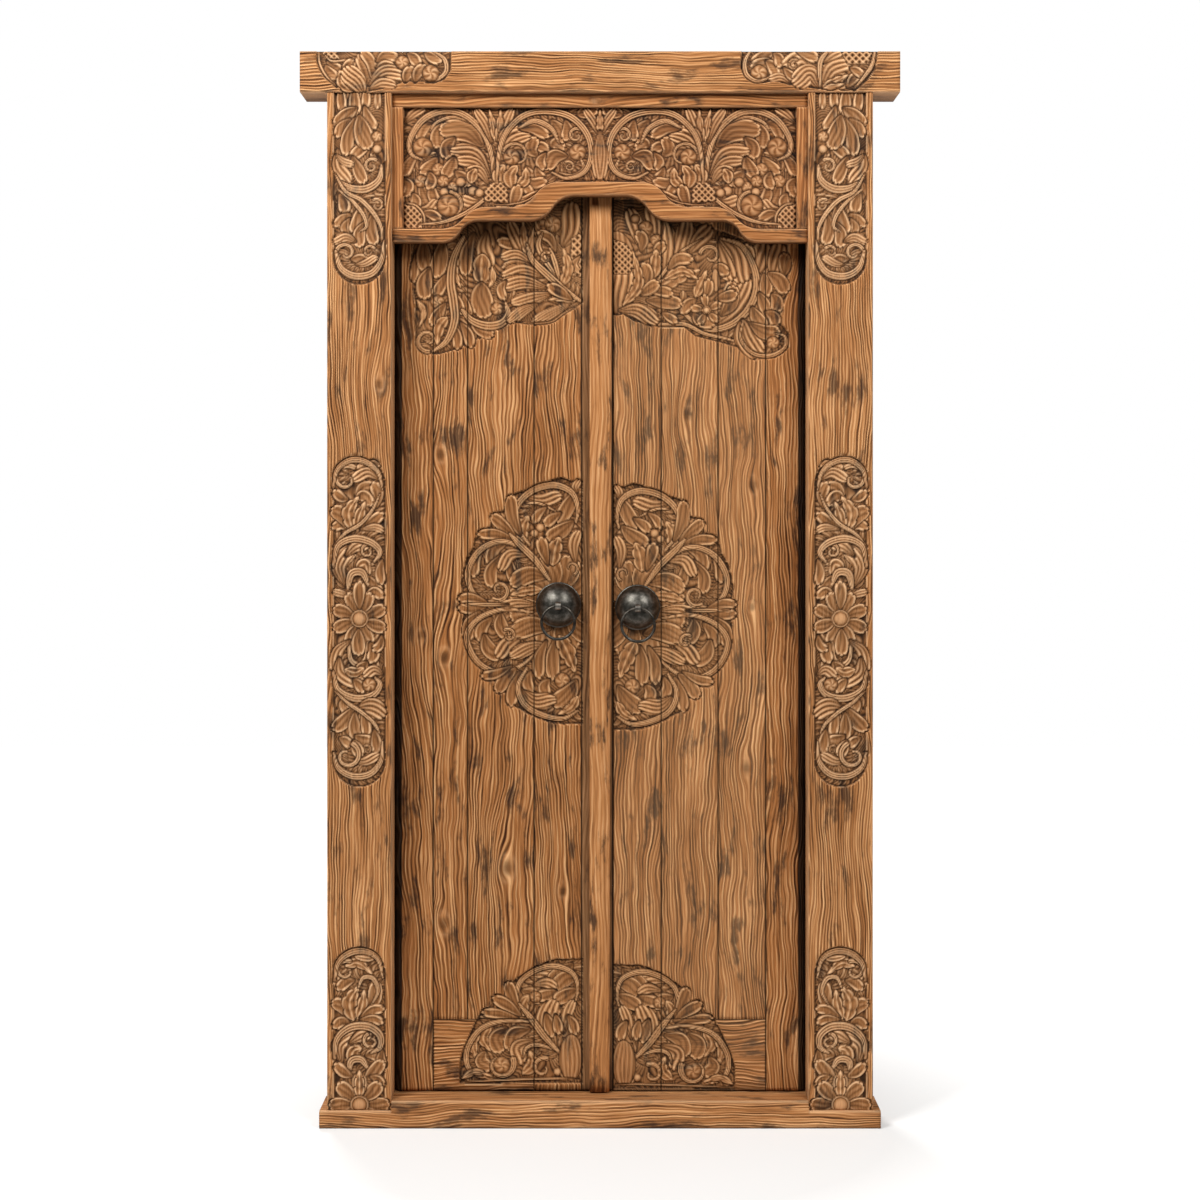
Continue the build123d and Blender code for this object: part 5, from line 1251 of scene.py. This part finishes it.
def leaf_board(node_name, body, seed, knots=(), slant=0.0, finish=leaf_teak, upright=True, crown=0):
    """One board of a leaf: rings along x, a carved front from head to foot, and a back with ledge trenches.

    Joints are drawn tight. The meeting edge is crowned at the pins' depth, where a swing doesn't carry it
    further out, so that no light shows between the leaves; crown is its side."""
    low, high = span_of(node_name)
    right = body == "right_leaf"
    x0, x1 = low[0] - (0 if crown < 0 else tight), high[0] + (0 if crown > 0 else tight)
    x = edged(spread(x0, x1, fine), leaf_arris)
    z = graded(low[2], high[2], carved_spans(x0, x1, right), fine, coarse)[::-1]
    X, Z = np.meshgrid(x, z, indexing="ij")
    tables = leaf_relief(X, Z, right)
    front = place(X, leaf_front + eased(x, leaf_arris)[:, None] - tables[0], Z)
    back = [(leaf_back, low[2])]
    for h in ledge_heights:
        if low[2] < h < high[2]:
            back += [(leaf_back, h - trench_mouth), (trench_floor, h - trench_half)]
            back += [(trench_floor, h + trench_half), (leaf_back, h + trench_mouth)]
    back = section(len(x), back + [(leaf_back, high[2])])
    tail = place(x[:, None], back[..., 0], back[..., 1])
    # Painted shade, with grime, along the joints at the board's two edges.
    joint_shade_and_grime = np.exp(-((np.minimum(x - x[0], x[-1] - x) / joint_shade) ** 2))
    tables[2] = np.maximum(tables[2], joint_shade_and_grime[:, None])
    # Darker towards the leaf's foot.
    tables[2] = np.maximum(tables[2], 0.7 * np.exp(-(((Z - leaf_foot) / foot_shade) ** 2)))
    # Painted shade at a rail's top edge, where the boards meet it.
    if not upright:
        tables[2] = np.maximum(tables[2], 0.9 * np.exp(-(high[2] - Z) / 1.2))
    # Painted light: the right leaf's rubbed share is raised evenly, so that it shows paler, as if lit more.
    if right:
        tables[3] = np.maximum(tables[3], 0.11)
    if crown:
        where, last = (len(x), -1) if crown > 0 else (0, 0)
        parts = (front, pin_y - crown_flat), (tail, pin_y + crown_flat)
        front, tail = (
            np.insert(part, where, part[last] * (1, 0, 1) + (crown * crown_rise, depth, 0), 0)
            for part, depth in parts
        )
        tables = np.insert(tables, where, tables[:, last], 1)
    timber(node_name, body, finish, front, tail, upright, tables[1:], seed, knots, slant)


def hanging_stile(node_name, body, joint, seed, knots=(), slant=0.0):
    """A leaf's pivot post: a flat front, a half-round heel, a pin at each end and trenches by the joint.

    It is worked out on the left side, and flipped for the right leaf."""
    end_slope, row_room = 0.4, 0.1      # how far a trench's end leans, and room to find its rows
    right = joint > 0
    x = edged(spread(pin_x, -abs(joint) - joint_room + tight, fine), leaf_arris)
    carved = carved_spans(*sorted((carving_end if right else -carving_end, joint)), right)
    z = graded(leaf_foot, leaf_head, carved, fine, coarse)
    for h in ledge_heights:
        for edge in (h - trench_half, h + trench_half):
            z = doubled(z, edge)
    X, Z = np.meshgrid(x, parted(z))
    tables = leaf_relief(-X if right else X, Z, right)
    fall = np.where(x > heel_end, eased(x, leaf_arris), 0)
    front = place(X, leaf_front + fall - tables[0], Z)
    turn = np.radians(np.linspace(90, 270, 13))[:-1]
    heel = np.stack([pin_x + heel_radius * np.cos(turn), pin_y + heel_radius * np.sin(turn)], 1)
    flat = [(x[-1], leaf_back), (trench_end, leaf_back), (trench_end - end_slope, leaf_back)]
    outline = np.concatenate([flat, heel])
    tail = place(outline[:, 0], outline[:, 1], z[:, None])
    for h in ledge_heights:
        sunk = np.flatnonzero(np.abs(z - h) <= trench_half + row_room)
        tail[sunk[1:-1], :2, 1] = trench_floor
        tail[sunk[0], :2, 2], tail[sunk[-1], :2, 2] = h - trench_mouth, h + trench_mouth
    angle = np.radians(np.concatenate([np.linspace(-90, 60, len(x)), np.linspace(70, 258, len(outline))]))
    pin = np.stack([pin_x + pin_radius * np.cos(angle), pin_y + pin_radius * np.sin(angle), 0 * angle], 1)
    lower, upper = (
        np.stack([pin + (0, 0, h) for h in heights])
        for heights in ((pin_foot, leaf_foot), (leaf_head, pin_head))
    )
    front = np.concatenate([lower[:, :len(x)], front, upper[:, :len(x)]])
    tail = np.concatenate([lower[:, len(x):], tail, upper[:, len(x):]])
    marks = np.pad(tables[1:], ((0, 0), (2, 2), (0, 0)))
    # Painted shade, with grime, along the joints at the stile's two edges.
    joint_shade_and_grime = np.exp(-((np.minimum(x - pin_x, x[-1] - x) / joint_shade) ** 2))
    marks[1] = np.maximum(marks[1], joint_shade_and_grime)
    # Painted shade on the heel, darkening as it turns back into the gap behind the post.
    dark = np.concatenate([np.zeros(len(flat)), np.clip((np.degrees(turn) - 120) / 30, 0, 1)])
    if right:
        front, tail, marks = flipped(front, tail, marks)
        dark = dark[::-1]
    timber(node_name, body, leaf_teak, front, tail, True, marks, seed, knots, slant, dark)


def ledge(node_name, body, seed):
    """A dovetailed ledge across a leaf's back: rings along x, wide in the trench, chamfered behind."""
    low, high = span_of(node_name)
    h = (low[2] + high[2]) / 2
    x = spread(low[0], high[0], 20)[:, None]
    edge, top = ledge_back - ledge_chamfer, ledge_mouth - ledge_chamfer
    back_y = np.array([ledge_neck, edge, ledge_back, ledge_back, edge, ledge_neck])
    back_z = h + np.array([-ledge_mouth, -ledge_mouth, -top, top, ledge_mouth, ledge_mouth])
    face = place(x, ledge_face, h + np.array([ledge_half, -ledge_half]))
    timber(node_name, body, leaf_teak, face, place(x, back_y, back_z), False, seed=seed)


hanging_stile("left_hanging_stile", "left_leaf", -345.8, 0.7, [(-370, 1003, 7)], 0.06)
leaf_board("left_board_1", "left_leaf", 1.9, [(-330, 1379, 8), (-323, 958, 9), (-325, 405, 10)])
leaf_board("left_board_2", "left_leaf", 3.2, [(-193, 520, 12)])
leaf_board("left_board_3", "left_leaf", 4.4, [(-77, 473, 7)], 0.04)
leaf_board("left_meeting_stile", "left_leaf", 5.6, finish=stile_teak, crown=1)
leaf_board("left_bottom_rail", "left_leaf", 2.5, upright=False)
hanging_stile("right_hanging_stile", "right_leaf", 343.6, 6.8)
leaf_board("right_board_1", "right_leaf", 0.3, [(317, 1314, 9), (315, 1061, 6), (303, 728, 9)])
leaf_board("right_board_2", "right_leaf", 2.1, [(182, 1460, 8)])
leaf_board("right_board_3", "right_leaf", 3.9, crown=-1)
leaf_board("right_bottom_rail", "right_leaf", 5.0, upright=False)
for leaf in ("left", "right"):
    for number, which in enumerate(("lower", "middle", "upper")):
        ledge(f"{leaf}_{which}_ledge", f"{leaf}_leaf", 1.1 + 2.7 * number)


def bar(node_name):
    """The moulded bar: a flat front, a quirk and a bevel down the free edge; rings widen towards the head.

    The notch is where the front falls back to the stile; its sides lean by the slope, or hardly at all."""
    slope, hardly, notch_skin = 0.1, 0.01, 0.2
    low, high = span_of(node_name)
    notch_ends = [(notch_foot - slope, notch_foot), (notch_head, notch_head + slope)]
    z = graded(low[2], high[2], notch_ends, 1.0, 30.0)
    width = (bar_width + bar_spread * (z - low[2]) / (high[2] - low[2]))[:, None]
    # Places across and how far the front falls there, from the left edge and then from the free edge
    notch_sides = [notch_left - hardly, notch_left, notch_right, notch_right + hardly]
    left = np.array([0, 0.3, 1.0, 2.0, *notch_sides, 24])
    left_fall = np.array([2, 0.9, 0.2, 0, 0, 0, 0, 0, 0])
    free = np.array([8.2, 7.2, 6.2, 5.4, 2.8, 0.3, 0])
    free_fall = np.array([0.1, 1.5, 1.5, 0.4, 2.5, 5.0, 6.2])
    x = low[0] + np.concatenate([np.broadcast_to(left, (len(z), len(left))), width - free], 1)
    y = low[1] + np.broadcast_to(np.concatenate([left_fall, free_fall]), x.shape)
    across_notch = (x >= low[0] + notch_left) & (x <= low[0] + notch_right)
    up_notch = (z > notch_foot - slope / 2) & (z < notch_head + slope / 2)
    front = place(x, np.where(across_notch & up_notch[:, None], high[1] - notch_skin, y), z[:, None])
    back = np.concatenate([low[0] + width, np.full_like(width, low[0])], 1)
    timber(node_name, "left_leaf", bar_teak, front, place(back, high[1], z[:, None]), seed=2.6)


bar("meeting_bar")


# Ring pulls

def round_piece(node_name, body, points, metal):
    """A turned or bent piece: a grid of points that closes on itself both ways."""
    rows, n = points.shape[:2]
    r, c = np.meshgrid(np.arange(rows), np.arange(n), indexing="ij")
    ahead, beside = (r + 1) % rows, (c + 1) % n
    quads = np.stack([r * n + c, r * n + beside, ahead * n + beside, ahead * n + c], -1)
    mesh = bpy.data.meshes.new(node_name + "_cast")
    mesh.from_pydata((points.reshape(-1, 3) * mm).tolist(), [], quads.reshape(-1, 4).tolist())
    mesh.polygons.foreach_set("use_smooth", np.ones(len(mesh.polygons), bool))
    piece = bpy.data.objects.new(node_name + "_cast", mesh)
    bpy.context.scene.collection.objects.link(piece)
    mesh.materials.append(metal)
    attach(piece, body)
    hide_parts(node_name)


def boss(node_name, body, x, z):
    """A domed shell turned about the eye's shank: out over the dome, round the lip and back up inside."""
    crown_y, dome_radius, shank_hole, dome_edge = -24.0, 47.6, 4.2, 44.2
    dome = np.concatenate([[shank_hole], np.linspace(8, dome_edge, 22)])
    dome_y = crown_y + dome_radius - np.sqrt(dome_radius**2 - dome**2)
    lip_r, lip_y = [44.6, 45.4, 46.6, 47, 47, 46.6, 44], [10.5, 11.2, 11.5, 12.4, 15, 16, 16]
    hollow_r, hollow_y = [43, 38, 23.5, shank_hole], [13, -4, -15, -18]
    r = np.concatenate([dome, lip_r, hollow_r])[::-1, None]
    y = np.concatenate([dome_y, lip_y, hollow_y])[::-1, None]
    turn = np.radians(np.arange(0, 360, 5))
    round_piece(node_name, body, place(x + r * np.cos(turn), y, z + r * np.sin(turn)), boss_bronze)


def ring(node_name, body):
    """A bent wire ring hanging from the eye: a circle carried round a circle."""
    ring_radius, wire_radius = 34, 3
    low, high = span_of(node_name)
    x, y, z = (low + high) / 2
    a, b = np.meshgrid(np.radians(np.arange(0, 360, 4)), np.radians(np.arange(0, 360, 20)), indexing="ij")
    out = ring_radius + wire_radius * np.cos(b)
    points = place(x + out * np.cos(a), y + wire_radius * np.sin(b), z + out * np.sin(a))
    round_piece(node_name, body, points, ring_bronze)


for leaf, boss_x, boss_z in (("left", -86, 1066), ("right", 78, 1061)):
    boss(f"{leaf}_pull_boss", f"{leaf}_leaf", boss_x, boss_z)
    ring(f"{leaf}_pull_ring", f"{leaf}_ring")
    for kept in ("eye", "washer"):
        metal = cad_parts[f"{leaf}_pull_{kept}"]
        metal.data.materials.clear()
        metal.data.materials.append(eye_bronze)


# Floor, light and camera, in metres

scene = bpy.context.scene
scene.view_settings.view_transform = "Standard"


def studio_floor(name, corners, colour, glow, near, far):
    """A flat sheet of studio paper; its own glow rises from near the door to white further off."""
    mesh = bpy.data.meshes.new(name)
    mesh.from_pydata(corners, [], [(0, 1, 2, 3)])
    paper = bpy.data.materials.new(name + "_paper")
    paper.use_nodes = True
    tree = paper.node_tree
    shader = tree.nodes["Principled BSDF"]
    shader.inputs["Base Color"].default_value = linear(colour)
    shader.inputs["Roughness"].default_value = 0.9
    shader.inputs["Emission Color"].default_value = (1, 1, 1, 1)
    where = node(tree, "TexCoord", {}, "Object")
    away = node(tree, "VectorMath", {0: where}, "Value", operation="LENGTH")
    light = node(tree, "MapRange", {
        "Value": away, "From Min": near, "From Max": far, "To Min": glow, "To Max": 1.0})
    tree.links.new(light, shader.inputs["Emission Strength"])
    mesh.materials.append(paper)
    sheet = bpy.data.objects.new(name, mesh)
    scene.collection.objects.link(sheet)


floor_corners = [(-7, -0.8, 0), (7, -0.8, 0), (7, 7, 0), (-7, 7, 0)]
studio_floor("studio_floor", floor_corners, "#c6c5c3", 0.33, 0.6, 1.5)

# White paper all round in the picture, but dim as a light, so that the softboxes model the carving.
world = bpy.data.worlds.new("studio")
world.use_nodes = True
backdrop = world.node_tree.nodes["Background"]
backdrop.inputs["Color"].default_value = (1, 1, 1, 1)
seen = node(world.node_tree, "LightPath", {}, "Is Camera Ray")
strength = node(world.node_tree, "MapRange", {"Value": seen, "To Min": 0.18, "To Max": 1.0})
world.node_tree.links.new(strength, backdrop.inputs["Strength"])
scene.world = world

# Name, place, power in watts and side; all turned to one point on the door.
softboxes = (
    ("softbox_left", (-2.2, -2.6, 3.9), 185, 1.4),
    ("softbox_right", (2.1, -2.8, 3.7), 117, 1.4),
    ("softbox_back", (-1.2, 3.4, 4.4), 150, 1.6),
)
lit_point = np.array([0, 0, 0.6])
for name, stand, power, size in softboxes:
    lamp = bpy.data.lights.new(name, "AREA")
    lamp.energy, lamp.size = power, size
    holder = bpy.data.objects.new(name, lamp)
    holder.location = stand
    aim = lit_point - stand
    tilt, heading = np.arctan2(np.hypot(aim[0], aim[1]), -aim[2]), np.arctan2(aim[1], aim[0]) - np.pi / 2
    holder.rotation_euler = (tilt, 0, heading)
    scene.collection.objects.link(holder)

camera_data = bpy.data.cameras.new("photo_camera")
camera_data.lens, camera_data.sensor_width, camera_data.shift_y = 64.6, 36, -0.075
camera = bpy.data.objects.new("photo_camera", camera_data)
camera.location, camera.rotation_euler = (0, -4.45, 1.2626), (np.pi / 2, 0, 0)
scene.collection.objects.link(camera)
scene.camera = camera
